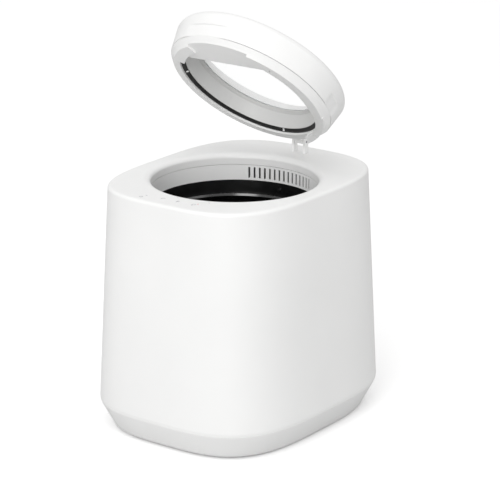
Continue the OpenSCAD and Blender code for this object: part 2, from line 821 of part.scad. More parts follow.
module exhaust_duct() {
    front = well_y + throat_r - 16;
    color(shade) difference() {
        span(duct_w, front, duct_y, airbox_top, lip_z);
        span(duct_w - 4, front - 2, duct_y - 2, airbox_top - 1, lip_z - 2);
        translate([0, well_y, 0]) rod(collar_r + fit_gap, airbox_top - 1, lip_z + 1);
    }
}

// The part of the rear wall that travels with the drawer
module door_skin() {
    difference() {
        intersection() {
            span(door_w, airbox_rear - 4, rear_end, door_z, door_top);
            upper_solid(belt_z);
        }
        upper_solid(belt_z - 1, wall, deck_z - deck_t);
    }
}

module filter_drawer() {
    back = airbox_rear - 2;
    color(plastic) difference() {
        union() {
            door_skin();
            intersection() {
                span(drawer_w, back, rear_end, drawer_z, drawer_top);
                upper_solid(belt_z, wall / 2);
            }
            span(drawer_w, drawer_y, back + eps, drawer_z, drawer_top);
        }
        span(drawer_w - 2 * drawer_wall, drawer_y + drawer_wall, back - drawer_wall, drawer_z + drawer_wall, drawer_top + 1);
        span(drawer_w - 16, drawer_y + 7, back - 8, drawer_z - 1, drawer_z + drawer_wall + 1);
        translate([-pull_l / 2, ring(door_z)[1] + 1, (door_z + door_top) / 2 + 2 * pull_r]) cross_rod(pull_r, 0, pull_l);
    }
}

module filter_cartridge() {
    color(black) span(drawer_w - 2 * drawer_wall - 2 * slide_gap, drawer_y + drawer_wall + slide_gap,
        airbox_rear - 2 - drawer_wall - slide_gap, drawer_z + drawer_wall, drawer_top - 4);
}

module filter_screen() {
    w = drawer_w - 2 * drawer_wall - 2 * slide_gap;
    y0 = drawer_y + drawer_wall + slide_gap;
    y1 = airbox_rear - 2 - drawer_wall - slide_gap;
    across = floor((w / 2 - screen_hole_r - 1) / screen_pitch);
    along = floor(((y1 - y0) / 2 - screen_hole_r - 1) / screen_pitch);
    color(metal) difference() {
        span(w, y0, y1, drawer_top - 4, drawer_top - 2.8);
        for (i = [-across : across]) for (j = [-along : along])
            translate([i * screen_pitch, (y0 + y1) / 2 + j * screen_pitch, 0])
                rod(screen_hole_r, drawer_top - 5, drawer_top);
    }
}

module fan_frame() {
    front = fan_rear - fan_t;
    color(black) translate([0, fan_rear, fan_z]) rotate([90, 0, 0]) {
        difference() {
            translate([-fan_size / 2, -fan_size / 2, 0]) cube([fan_size, fan_size, fan_t]);
            rod(fan_r, -1, fan_t + 1);
        }
        rod(10, 0, 3);
        for (a = [0 : 90 : 270]) rotate([0, 0, a]) translate([8, -1.5, 0]) cube([fan_r - 7, 3, 3]);
        rod(1.5, 2, fan_t - 5);
    }
}

module fan_impeller() {
    color(black) translate([0, fan_rear, fan_z]) rotate([90, 0, 0]) {
        difference() {
            rod(9, 4, fan_t - 2);
            rod(1.5 + run_gap, 3, fan_t - 4.5);
        }
        for (k = [0 : fan_blades - 1]) rotate([0, 0, 360 * k / fan_blades])
            intersection() {
                translate([7, 0, (fan_t + 2) / 2]) rotate([38, 0, 0])
                    translate([0, -8, -0.8]) cube([fan_r, 16, 1.6]);
                rod(fan_r - 1, 4.5, fan_t - 2.5);
            }
    }
}

module control_board() {
    color(board) {
        span(board_w, board_y, board_y + board_t, airbox_z, airbox_z + 66);
        span(16, board_y - 12, board_y + eps, airbox_z + 14, airbox_z + 32, -30);
        span(20, board_y - 9, board_y + eps, airbox_z + 40, airbox_z + 56, 8);
        for (i = [0 : 2]) span(9, board_y - 8, board_y + eps, airbox_z + 16, airbox_z + 26, 4 + 14 * i);
    }
}

module power_board() {
    x0 = power_board_x - board_t / 2;
    color(board) {
        translate([x0, -power_board_w / 2, airbox_z]) cube([board_t, power_board_w, 58]);
        translate([x0 - 7, -30, airbox_z + 14]) cube([7 + eps, 24, 22]);
        for (i = [0 : 1]) translate([x0, 8 + 18 * i, airbox_z + 24]) rotate([0, -90, 0]) cylinder(r = 6, h = 7);
    }
}

// Place of a touch key on the deck
module key_place(i) {
    translate([panel_x + (i - (key_count - 1) / 2) * key_pitch, panel_y, 0]) children();
}

module touch_board() {
    color(board) span(key_pitch * (key_count - 1) + 16, panel_y - 10, panel_y + 8,
        deck_z - deck_t - board_t, deck_z - deck_t, panel_x);
}

module indicator_lenses() {
    color([0.9, 0.9, 0.92]) for (i = [0 : key_count - 1]) key_place(i) rod(lens_r, deck_z - deck_t, deck_z);
}

module power_inlet() {
    face = ring(inlet_z)[1] - 3.4;
    color(black) translate([inlet_x, 0, inlet_z]) difference() {
        union() {
            span(inlet_w - 2 * fit_gap, face - 20, face, -inlet_h / 2 + fit_gap, inlet_h / 2 - fit_gap);
            span(inlet_w + 6, face - 20, face - 6, -inlet_h / 2 - 3, inlet_h / 2 + 3);
        }
        span(inlet_w - 8, face - 15, face + 1, -inlet_h / 2 + 5, inlet_h / 2 - 5);
    }
}

module inlet_pins() {
    face = ring(inlet_z)[1] - 3.4;
    color(metal) translate([inlet_x, 0, inlet_z]) for (s = [-1, 1])
        translate([s * 5, face - 15, 0]) rotate([-90, 0, 0]) cylinder(r = 1.2, h = 11);
}

module lid_sensor() {
    color(black) span(16, well_y - collar_r - 5.3, well_y - collar_r - fit_gap, collar_z + 3, collar_z + 15);
}

module hinge_bracket() {
    under = deck_z - deck_t;
    color(plastic) difference() {
        union() {
            span(2 * (ear_x + ear_w) + 6, hinge_y - bracket_d / 2, hinge_y + bracket_d / 2, under - bracket_t, under);
            for (s = [-1, 1]) translate([s * (ear_x + ear_w / 2), 0, 0]) {
                span(ear_w, hinge_y - knuckle_r, hinge_y + knuckle_r, under - 1, hinge_z);
                translate([0, hinge_y, hinge_z]) cross_rod(knuckle_r, -ear_w / 2, ear_w / 2);
            }
        }
        translate([0, hinge_y, hinge_z]) cross_rod(hinge_pin_r + press_gap, -ear_x - ear_w - 1, ear_x + ear_w + 1);
        for (s = [-1, 1]) translate([s * bracket_screw_x, bracket_screw_y, 0])
            rod(bracket_hole_r, under - bracket_t - 1, under + 1);
    }
}

module hinge_pin() {
    color(metal) translate([0, hinge_y, hinge_z]) cross_rod(hinge_pin_r, -ear_x - ear_w, ear_x + ear_w);
}

module hinge_washers() {
    color(metal) translate([0, hinge_y, hinge_z]) for (s = [-1, 1]) rotate([0, s * 90, 0])
        tube(knuckle_r - 0.3, hinge_pin_r + run_gap, leaf_w / 2 + 0.05, leaf_w / 2 + 0.05 + washer_t);
}

module bracket_screws() {
    seat = deck_z - deck_t - bracket_t;
    color(metal) for (s = [-1, 1]) translate([s * bracket_screw_x, bracket_screw_y, 0]) {
        rod(bracket_head_r, seat - 1.6, seat);
        rod(bracket_hole_r - run_gap, seat - 1, deck_z - deck_t + 1.6);
    }
}

module hinge_leaf() {
    front = seam_r - 2;
    color(plastic) lid_place() difference() {
        union() {
            span(leaf_w, front, pin_y, pin_z - leaf_t / 2, pin_z + leaf_t / 2);
            span(leaf_w, front, cap_r + 2.4, pin_z - 6, pin_z + 6);
            translate([0, pin_y, pin_z]) cross_rod(knuckle_r, -leaf_w / 2, leaf_w / 2);
        }
        cylinder(r1 = seam_r + seam_gap, r2 = cap_r + seam_gap, h = cap_h - cap_edge_r);
        translate([0, pin_y, pin_z]) cross_rod(hinge_pin_r + run_gap, -leaf_w, leaf_w);
        leaf_screw_places() rod(bracket_hole_r, seam_r, seam_r + 12);
    }
}

module leaf_screws() {
    color(metal) lid_place() leaf_screw_places() {
        rod(bracket_head_r, leaf_screw_y - 1.6, leaf_screw_y);
        rod(bracket_hole_r - run_gap, leaf_screw_y - 1, leaf_screw_y + 10);
    }
}

module lid_cap() {
    e = cap_edge_r;
    color(plastic) lid_place() difference() {
        rotate_extrude() polygon(concat(
            [[skirt_inner_r, 0], [seam_r, 0]],
            [for (a = [0 : 10 : 90]) [cap_r - e + e * cos(a), cap_h - e + e * sin(a)]],
            [[dish_r, cap_h], [seat_r, window_z + window_t], [seat_r, window_z + window_t / 2],
             [seat_r + window_lip, window_z + window_t / 2], [seat_r + window_lip, window_z],
             [seat_r + window_lip + cap_t, window_z], [dish_r + cap_t + 0.6, cap_h - cap_t],
             [cap_r - e - 2, cap_h - cap_t], [cap_r - skirt_t - 0.4, cap_h - e - 2],
             [skirt_inner_r, rim_top_z + 1]]));
        for (g = grips) difference() {
            sector(g[0], g[1], cap_r + 5, -1, g[2]);
            cylinder(r1 = seam_r - grip_depth, r2 = cap_r - grip_depth, h = cap_h - e);
            rod(seam_r - grip_depth, -2, eps);
        }
        leaf_screw_places() {
            rod(bracket_hole_r, leaf_screw_y - 1, cap_r + 1);
            rod(bracket_head_r + fit_gap, leaf_screw_y - 8, leaf_screw_y);
        }
    }
}

module lid_window() {
    r = window_r + window_lip;
    step = window_z + window_t / 2 - seam_gap;
    color([0.9, 0.95, 0.97, 0.35]) lid_place() rotate_extrude() polygon([
        [0, window_z], [r, window_z], [r, step], [window_r, step], [window_r, window_z + window_t],
        [0, window_z + window_t]]);
}

module lid_liner() {
    top = window_z - seam_gap;
    inner = gasket_r - gasket_lean;
    color(shade) lid_place() rotate_extrude() polygon([
        [inner, gasket_z + gasket_rise + 0.3], [window_r + 2.5, top - 3.3], [window_r + 1.7, top - 3.3],
        [window_r + 1.7, top - 2.2], [window_r + 0.9, top - 2.2], [window_r + 0.9, top - 1.1],
        [window_r + 0.1, top - 1.1], [window_r + 0.1, top], [window_r + 5, top],
        [inner + 2.6, gasket_z + gasket_rise + 2.4], [inner + 1.9, gasket_z + gasket_rise + 1.7]]);
}

module lid_gasket() {
    outer = gasket_r + gasket_w;
    color(rubber) lid_place() difference() {
        rotate_extrude() polygon([
            [gasket_r, gasket_z], [outer, gasket_z], [outer, gasket_z + 2.4],
            [gasket_r - gasket_lean + 1.9, gasket_z + gasket_rise + 1.6],
            [gasket_r - gasket_lean, gasket_z + gasket_rise]]);
        for (a = clip_angles) around(a, gasket_r - gasket_lean / 2) clip_shape(run_gap);
    }
}

// Small retaining clip, seen as a light bridge over the gasket
module clip_shape(extra = 0) {
    translate([0, 0, gasket_z + gasket_rise / 2]) rotate([0, 34, 0])
        cube([3.2 + 2 * extra, 2 + 2 * extra, 1.6 + 2 * extra], center = true);
}

module gasket_clips() {
    color(plastic) lid_place() for (a = clip_angles) around(a, gasket_r - gasket_lean / 2) clip_shape();
}

module lid_rim() {
    seat = gasket_z - seam_gap;
    outer = gasket_r + gasket_w + 0.4;
    color(plastic) lid_place() difference() {
        union() {
            rotate_extrude() polygon([
                [ledge_r, -ledge_depth], [plug_r, -ledge_depth], [seam_r - 0.4, -seam_gap], [rim_r, -seam_gap],
                [rim_r, rim_top_z], [rim_r - rim_wall, rim_top_z], [rim_r - rim_wall, seat + rim_wall],
                [outer, seat + rim_wall], [outer, seat], [ledge_r, seat]]);
            difference() {
                rotate_extrude() polygon([
                    [rim_inner_r, -rim_depth], [plug_low_r, -rim_depth], [plug_r, -ledge_depth],
                    [plug_r, 0.5 - ledge_depth], [rim_inner_r, 0.5 - ledge_depth]]);
                sector(rim_right, 360 + rim_left, plug_r + 5, -rim_depth - 1, 1 - ledge_depth);
                sector(-notch_half, notch_half, plug_r + 5, -rim_depth - 1, -notch_depth);
                around(bite_angle, bite_shift) rod(bite_r, -rim_depth - 1, 1 - ledge_depth);
            }
            difference() {
                rotate([0, 0, tab_start - 90]) rotate_extrude(angle = rim_right - tab_start - 0.4) polygon([
                    [tab_inner_r, -tab_depth], [tab_r, -tab_depth], [tab_r, 0.4 - ledge_depth],
                    [tab_inner_r, 0.4 - ledge_depth]]);
                rotate([0, 0, rim_right - 90]) translate([0, 0, -tab_depth]) rotate([-tab_slope, 0, 0])
                    translate([0, -100, -20]) cube([2 * plug_r, 200, 20]);
            }
            translate([0, 0, -notch_depth]) linear_extrude(notch_depth + 0.5 - ledge_depth) intersection() {
                circle(rim_inner_r + 5);
                translate([-rim_inner_r, -rim_inner_r - 10]) square([2 * rim_inner_r, rim_inner_r + 10 - chord_y]);
            }
        }
        for (s = rim_slots) around(s[0], s[1])
            translate([-2.5, -0.8, -tab_depth - 1]) cube([5, 1.6, tab_depth - rim_depth + 4]);
        translate([0, magnet_y, 0]) rod(magnet_r + press_gap, -ledge_depth - 0.6, 1);
        for (a = clip_angles) around(a, gasket_r - gasket_lean / 2) clip_shape(run_gap);
    }
}

module lid_magnet() {
    color(metal) lid_place() translate([0, magnet_y, -ledge_depth - 0.6]) rod(magnet_r, 0, magnet_h);
}

housing_shell();
mouth_ring();
base_tray();
rubber_feet();
base_screws();
chassis_plate();
chassis_screws();
vent_collar();
funnel_ring();
well_liner();
insulation_jacket();
heater_ring();
humidity_probe();
gearbox_case();
gearbox_cover();
shaft_bearings();
idler_pin();
motor_body();
motor_pinion();
idler_gear();
output_gear();
output_shaft();
drive_coupling();
bucket();
bucket_bush();
shaft_seal();
agitator_shaft();
agitator_blades();
air_box();
exhaust_duct();
filter_drawer();
filter_cartridge();
filter_screen();
fan_frame();
fan_impeller();
control_board();
power_board();
touch_board();
indicator_lenses();
power_inlet();
inlet_pins();
lid_sensor();
hinge_bracket();
hinge_pin();
hinge_washers();
bracket_screws();
hinge_leaf();
leaf_screws();
lid_cap();
lid_window();
lid_liner();
lid_gasket();
gasket_clips();
lid_rim();
lid_magnet();
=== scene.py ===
"""Finishes, shells and studio of a countertop food waste composter, laid over its packed construction."""
import logging
import math
from dataclasses import dataclass
from enum import Enum
from typing import Iterable, Sequence

import bmesh
import bpy
from mathutils import Matrix, Vector


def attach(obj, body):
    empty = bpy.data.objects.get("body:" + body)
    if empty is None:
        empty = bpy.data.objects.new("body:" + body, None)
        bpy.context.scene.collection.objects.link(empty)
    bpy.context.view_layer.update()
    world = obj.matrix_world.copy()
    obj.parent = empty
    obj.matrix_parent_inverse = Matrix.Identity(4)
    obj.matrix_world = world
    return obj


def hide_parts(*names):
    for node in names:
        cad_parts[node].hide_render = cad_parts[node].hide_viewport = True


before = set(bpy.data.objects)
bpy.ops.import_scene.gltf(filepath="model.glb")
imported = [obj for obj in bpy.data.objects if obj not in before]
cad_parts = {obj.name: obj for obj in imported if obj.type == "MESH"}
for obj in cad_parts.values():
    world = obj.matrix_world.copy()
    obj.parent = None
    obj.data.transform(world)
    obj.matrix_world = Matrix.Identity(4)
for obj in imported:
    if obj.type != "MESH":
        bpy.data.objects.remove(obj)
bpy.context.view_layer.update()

LOG = logging.getLogger("composter")
MM = 0.001
TAU = 2 * math.pi
DECK_Z = 300.0
WELL_Y = -9.4

Point2 = tuple[float, float]
Point3 = tuple[float, float, float]
Colour = tuple[float, float, float]


class Slot(Enum):
    """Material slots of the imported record."""

    WHITE = "white_plastic"
    LIGHT = "light_plastic"
    GREY = "grey_plastic"
    BLACK = "black_plastic"
    COATING = "black_coating"
    ALUMINIUM = "aluminium"
    STEEL = "steel"
    BRASS = "brass"
    RUBBER = "rubber"
    FELT = "felt"
    CARBON = "carbon"
    BOARD = "circuit_board"
    LENS = "lens"
    WINDOW = "clear_window"


class Body(Enum):
    """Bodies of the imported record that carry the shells."""

    APPLIANCE = "appliance"
    BUCKET = "bucket"
    LID = "lid"


def linear(srgb: Colour) -> tuple[float, float, float, float]:
    """Turn a display colour into the linear colour that a shader socket takes.

    Args:
        srgb: Red, green and blue from 0 to 1 as seen on a display.

    Returns:
        The linear colour with full alpha.
    """
    def channel(v: float) -> float:
        """Linear value of one display channel."""
        return v / 12.92 if v <= 0.04045 else ((v + 0.055) / 1.055) ** 2.4

    return (channel(srgb[0]), channel(srgb[1]), channel(srgb[2]), 1.0)


class Shader:
    """A node material under construction, with its surface shader and its texture place."""

    def __init__(self, name: str, roughness: float, metallic: float = 0.0) -> None:
        """Start a material.

        Args:
            name: Name of the material.
            roughness: Roughness before any texture is added.
            metallic: 1 for bare metal and 0 for everything else.
        """
        self.material = bpy.data.materials.new(name)
        self.material.use_nodes = True
        self.nodes = self.material.node_tree.nodes
        self.links = self.material.node_tree.links
        self.surface = self.nodes["Principled BSDF"]
        self.surface.inputs["Roughness"].default_value = roughness
        self.surface.inputs["Metallic"].default_value = metallic
        self.place = self.nodes.new("ShaderNodeTexCoord").outputs["Object"]

    def set(self, socket: str, value: float | tuple) -> None:
        """Set one plain value on the surface shader."""
        self.surface.inputs[socket].default_value = value

    def noise(self, scale: float, detail: float = 2.0, stretch: Point3 = (1, 1, 1)) -> bpy.types.NodeSocket:
        """Add a noise texture.

        Args:
            scale: Noise cells in a metre.
            detail: Octaves of finer noise.
            stretch: Factor on each axis, where a small one draws the grain out.

        Returns:
            The socket that carries the noise value.
        """
        source = self.place
        if stretch != (1, 1, 1):
            mapping = self.nodes.new("ShaderNodeMapping")
            mapping.inputs["Scale"].default_value = stretch
            self.links.new(self.place, mapping.inputs["Vector"])
            source = mapping.outputs["Vector"]
        texture = self.nodes.new("ShaderNodeTexNoise")
        texture.inputs["Scale"].default_value = scale
        texture.inputs["Detail"].default_value = detail
        self.links.new(source, texture.inputs["Vector"])
        return texture.outputs["Fac"]

    def cells(self, scale: float, feature: str = "F1") -> bpy.types.NodeSocket:
        """Add a cell texture and return the socket that carries its distance."""
        texture = self.nodes.new("ShaderNodeTexVoronoi")
        texture.feature = feature
        texture.inputs["Scale"].default_value = scale
        self.links.new(self.place, texture.inputs["Vector"])
        return texture.outputs["Distance"]

    def spread(self, value: bpy.types.NodeSocket, low: float, high: float,
               start: float = 0.0, end: float = 1.0) -> bpy.types.NodeSocket:
        """Map a texture value onto a range.

        Args:
            value: Socket of the texture.
            low: Result at the start value.
            high: Result at the end value.
            start: Texture value that gives low.
            end: Texture value that gives high.

        Returns:
            The socket that carries the mapped value.
        """
        node = self.nodes.new("ShaderNodeMapRange")
        node.inputs["From Min"].default_value = start
        node.inputs["From Max"].default_value = end
        node.inputs["To Min"].default_value = low
        node.inputs["To Max"].default_value = high
        self.links.new(value, node.inputs["Value"])
        return node.outputs["Result"]

    def blend(self, factor: bpy.types.NodeSocket, first: Colour, second: Colour) -> None:
        """Colour the surface between two colours by a factor."""
        mix = self.nodes.new("ShaderNodeMix")
        mix.data_type = "RGBA"
        mix.inputs["A"].default_value = linear(first)
        mix.inputs["B"].default_value = linear(second)
        self.links.new(factor, mix.inputs["Factor"])
        self.links.new(mix.outputs["Result"], self.surface.inputs["Base Color"])

    def rough(self, value: bpy.types.NodeSocket, low: float, high: float) -> None:
        """Vary the roughness between two values with a texture."""
        self.links.new(self.spread(value, low, high, 0.3, 0.7), self.surface.inputs["Roughness"])

    def bump(self, height: bpy.types.NodeSocket, depth: float, strength: float = 1.0) -> None:
        """Raise the surface by a texture.

        Args:
            height: Socket of the texture.
            depth: Height of the relief in metres.
            strength: Share of the relief that shows.
        """
        node = self.nodes.new("ShaderNodeBump")
        node.inputs["Strength"].default_value = strength
        node.inputs["Distance"].default_value = depth
        self.links.new(height, node.inputs["Height"])
        self.links.new(node.outputs["Normal"], self.surface.inputs["Normal"])


@dataclass(frozen=True)
class MouldedPlastic:
    """Moulded plastic with a fine spark-eroded grain."""

    name: str
    colour: Colour
    shade: float = 0.012
    roughness: float = 0.38
    grain: float = 1400.0
    depth: float = 0.00004
    coat: float = 0.0

    def build(self) -> bpy.types.Material:
        """Make the material."""
        shader = Shader(self.name, self.roughness)
        cloud = shader.noise(9.0, 3.0)
        darker = tuple(max(0.0, c - self.shade) for c in self.colour)
        shader.blend(shader.spread(cloud, 0.0, 1.0, 0.3, 0.7), darker, self.colour)
        shader.rough(shader.noise(60.0, 4.0), self.roughness - 0.04, self.roughness + 0.06)
        shader.bump(shader.noise(self.grain, 2.0), self.depth, 0.25)
        shader.set("Coat Weight", self.coat)
        shader.set("Coat Roughness", 0.12)
        shader.set("IOR", 1.5)
        return shader.material


@dataclass(frozen=True)
class TurnedMetal:
    """Bare metal with fine tool marks drawn out along one axis."""

    name: str
    colour: Colour
    roughness: float = 0.3
    stretch: Point3 = (1.0, 1.0, 12.0)
    marks: float = 900.0

    def build(self) -> bpy.types.Material:
        """Make the material."""
        shader = Shader(self.name, self.roughness, metallic=1.0)
        darker = tuple(c * 0.88 for c in self.colour)
        shader.blend(shader.spread(shader.noise(35.0, 5.0), 0.0, 1.0, 0.3, 0.7), darker, self.colour)
        marks = shader.noise(self.marks, 3.0, self.stretch)
        shader.rough(marks, self.roughness - 0.08, self.roughness + 0.12)
        shader.bump(marks, 0.00003, 0.3)
        return shader.material


@dataclass(frozen=True)
class NonStickCoating:
    """Glossy sprayed coating with a fine mineral fleck."""

    name: str
    colour: Colour = (0.022, 0.022, 0.024)
    fleck: Colour = (0.13, 0.13, 0.135)
    roughness: float = 0.22

    def build(self) -> bpy.types.Material:
        """Make the material."""
        shader = Shader(self.name, self.roughness)
        dots = shader.cells(420.0)
        shader.blend(shader.spread(dots, 0.55, 0.0, 0.05, 0.16), self.colour, self.fleck)
        shader.rough(shader.noise(90.0, 3.0), self.roughness - 0.05, self.roughness + 0.08)
        shader.bump(shader.noise(260.0, 2.0), 0.00012, 0.35)
        shader.set("Coat Weight", 1.0)
        shader.set("Coat Roughness", 0.17)
        return shader.material


@dataclass(frozen=True)
class SoftRubber:
    """Matt rubber with a dusty bloom."""

    name: str
    colour: Colour
    bloom: Colour

    def build(self) -> bpy.types.Material:
        """Make the material."""
        shader = Shader(self.name, 0.72)
        shader.blend(shader.spread(shader.noise(70.0, 5.0), 0.0, 0.6, 0.4, 0.75), self.colour, self.bloom)
        shader.bump(shader.noise(1100.0, 3.0), 0.00006, 0.5)
        shader.set("Sheen Weight", 0.12)
        return shader.material


@dataclass(frozen=True)
class PressedFibre:
    """Felted ceramic fibre with a soft, pulled surface."""

    name: str
    colour: Colour = (0.86, 0.85, 0.81)

    def build(self) -> bpy.types.Material:
        """Make the material."""
        shader = Shader(self.name, 0.95)
        fibres = shader.noise(420.0, 6.0, (1.0, 1.0, 0.25))
        darker = tuple(c * 0.8 for c in self.colour)
        shader.blend(shader.spread(fibres, 0.0, 1.0, 0.3, 0.7), darker, self.colour)
        shader.bump(fibres, 0.0008, 0.8)
        shader.set("Sheen Weight", 0.4)
        return shader.material


@dataclass(frozen=True)
class CarbonGranules:
    """Packed grains of activated carbon."""

    name: str
    grain: float = 520.0

    def build(self) -> bpy.types.Material:
        """Make the material."""
        shader = Shader(self.name, 0.6)
        grains = shader.cells(self.grain)
        shader.blend(shader.spread(grains, 1.0, 0.0, 0.0, 0.7), (0.05, 0.05, 0.055), (0.17, 0.17, 0.18))
        shader.bump(grains, 0.0012, 1.0)
        return shader.material


@dataclass(frozen=True)
class CircuitBoard:
    """Green solder mask with buried tracks and a woven core."""

    name: str

    def build(self) -> bpy.types.Material:
        """Make the material."""
        shader = Shader(self.name, 0.35)
        bricks = shader.nodes.new("ShaderNodeTexBrick")
        bricks.inputs["Scale"].default_value = 60.0
        bricks.inputs["Mortar Size"].default_value = 0.035
        bricks.inputs["Color1"].default_value = linear((0.05, 0.33, 0.19))
        bricks.inputs["Color2"].default_value = linear((0.04, 0.29, 0.17))
        bricks.inputs["Mortar"].default_value = linear((0.16, 0.5, 0.28))
        mapping = shader.nodes.new("ShaderNodeMapping")
        mapping.inputs["Rotation"].default_value = (math.radians(90), 0.0, 0.0)
        shader.links.new(shader.place, mapping.inputs["Vector"])
        shader.links.new(mapping.outputs["Vector"], bricks.inputs["Vector"])
        shader.links.new(bricks.outputs["Color"], shader.surface.inputs["Base Color"])
        shader.bump(shader.noise(900.0, 2.0), 0.00005, 0.4)
        shader.set("Coat Weight", 0.3)
        return shader.material


@dataclass(frozen=True)
class ClearPlastic:
    """Clear moulded plastic with a slight unevenness."""

    name: str
    tint: Colour = (0.985, 0.99, 0.99)
    roughness: float = 0.03

    def build(self) -> bpy.types.Material:
        """Make the material."""
        shader = Shader(self.name, self.roughness)
        shader.blend(shader.noise(14.0, 2.0), self.tint, (1.0, 1.0, 1.0))
        shader.bump(shader.noise(40.0, 1.0), 0.00005, 0.1)
        shader.set("Transmission Weight", 1.0)
        shader.set("IOR", 1.08)
        shader.set("Specular IOR Level", 0.3)
        return shader.material


@dataclass(frozen=True)
class PrintedMark:
    """Thin screen-printed ink."""

    name: str
    colour: Colour

    def build(self) -> bpy.types.Material:
        """Make the material."""
        shader = Shader(self.name, 0.5)
        darker = tuple(c * 0.93 for c in self.colour)
        shader.blend(shader.noise(1500.0, 3.0), darker, self.colour)
        shader.bump(shader.noise(2500.0, 2.0), 0.00001, 0.3)
        return shader.material


class Palette:
    """The finishes of the appliance, built once and shared."""

    def __init__(self) -> None:
        """Build every finish."""
        finishes = {
            Slot.WHITE: MouldedPlastic("gloss_white_plastic", (0.945, 0.945, 0.942), roughness=0.36),
            Slot.LIGHT: MouldedPlastic("satin_light_plastic", (0.82, 0.82, 0.815), roughness=0.42),
            Slot.GREY: MouldedPlastic("grey_nylon", (0.62, 0.62, 0.61), shade=0.03, roughness=0.5),
            Slot.BLACK: MouldedPlastic("black_plastic", (0.03, 0.03, 0.032), shade=0.01, roughness=0.33),
            Slot.COATING: NonStickCoating("non_stick_coating"),
            Slot.ALUMINIUM: TurnedMetal("spun_aluminium", (0.8, 0.8, 0.81), 0.34, (1.0, 1.0, 14.0)),
            Slot.STEEL: TurnedMetal("ground_steel", (0.68, 0.68, 0.69), 0.28, (1.0, 1.0, 10.0)),
            Slot.BRASS: TurnedMetal("turned_brass", (0.78, 0.62, 0.33), 0.3, (1.0, 1.0, 12.0)),
            Slot.RUBBER: SoftRubber("seal_rubber", (0.045, 0.045, 0.046), (0.12, 0.12, 0.12)),
            Slot.FELT: PressedFibre("ceramic_felt"),
            Slot.CARBON: CarbonGranules("carbon_granules"),
            Slot.BOARD: CircuitBoard("solder_mask"),
            Slot.LENS: MouldedPlastic("frosted_lens", (0.9, 0.9, 0.91), roughness=0.2, coat=0.5),
            Slot.WINDOW: ClearPlastic("clear_window_plastic"),
        }
        self.made = {slot: finish.build() for slot, finish in finishes.items()}

    def __getitem__(self, slot: Slot) -> bpy.types.Material:
        """The finish of a slot."""
        return self.made[slot]

    def dress(self, obj: bpy.types.Object, material: bpy.types.Material) -> None:
        """Give a whole object one material.

        Args:
            obj: Object of any kind that holds materials.
            material: Material for each of its slots.
        """
        if not obj.material_slots:
            obj.data.materials.append(material)
        for place in obj.material_slots:
            place.material = material

    def dress_nodes(self, slot: Slot, names: Iterable[str]) -> None:
        """Give construction nodes the finish of a slot.

        Args:
            slot: Which finish.
            names: Names of the nodes.
        """
        for name in names:
            self.dress(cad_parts[name], self[slot])
            LOG.info("%s in %s", name, slot.value)


@dataclass(frozen=True)
class Lamp:
    """Square soft box, with its place in metres, its side and its power in watts."""

    name: str
    place: Point3
    size: float
    power: float

    def hang(self, aim: Vector) -> None:
        """Hang the lamp so that it faces a point."""
        data = bpy.data.lights.new(self.name, "AREA")
        data.size = self.size
        data.energy = self.power
        lamp = bpy.data.objects.new(self.name, data)
        lamp.location = self.place
        lamp.rotation_euler = (aim - Vector(self.place)).to_track_quat("-Z", "Y").to_euler()
        bpy.context.scene.collection.objects.link(lamp)


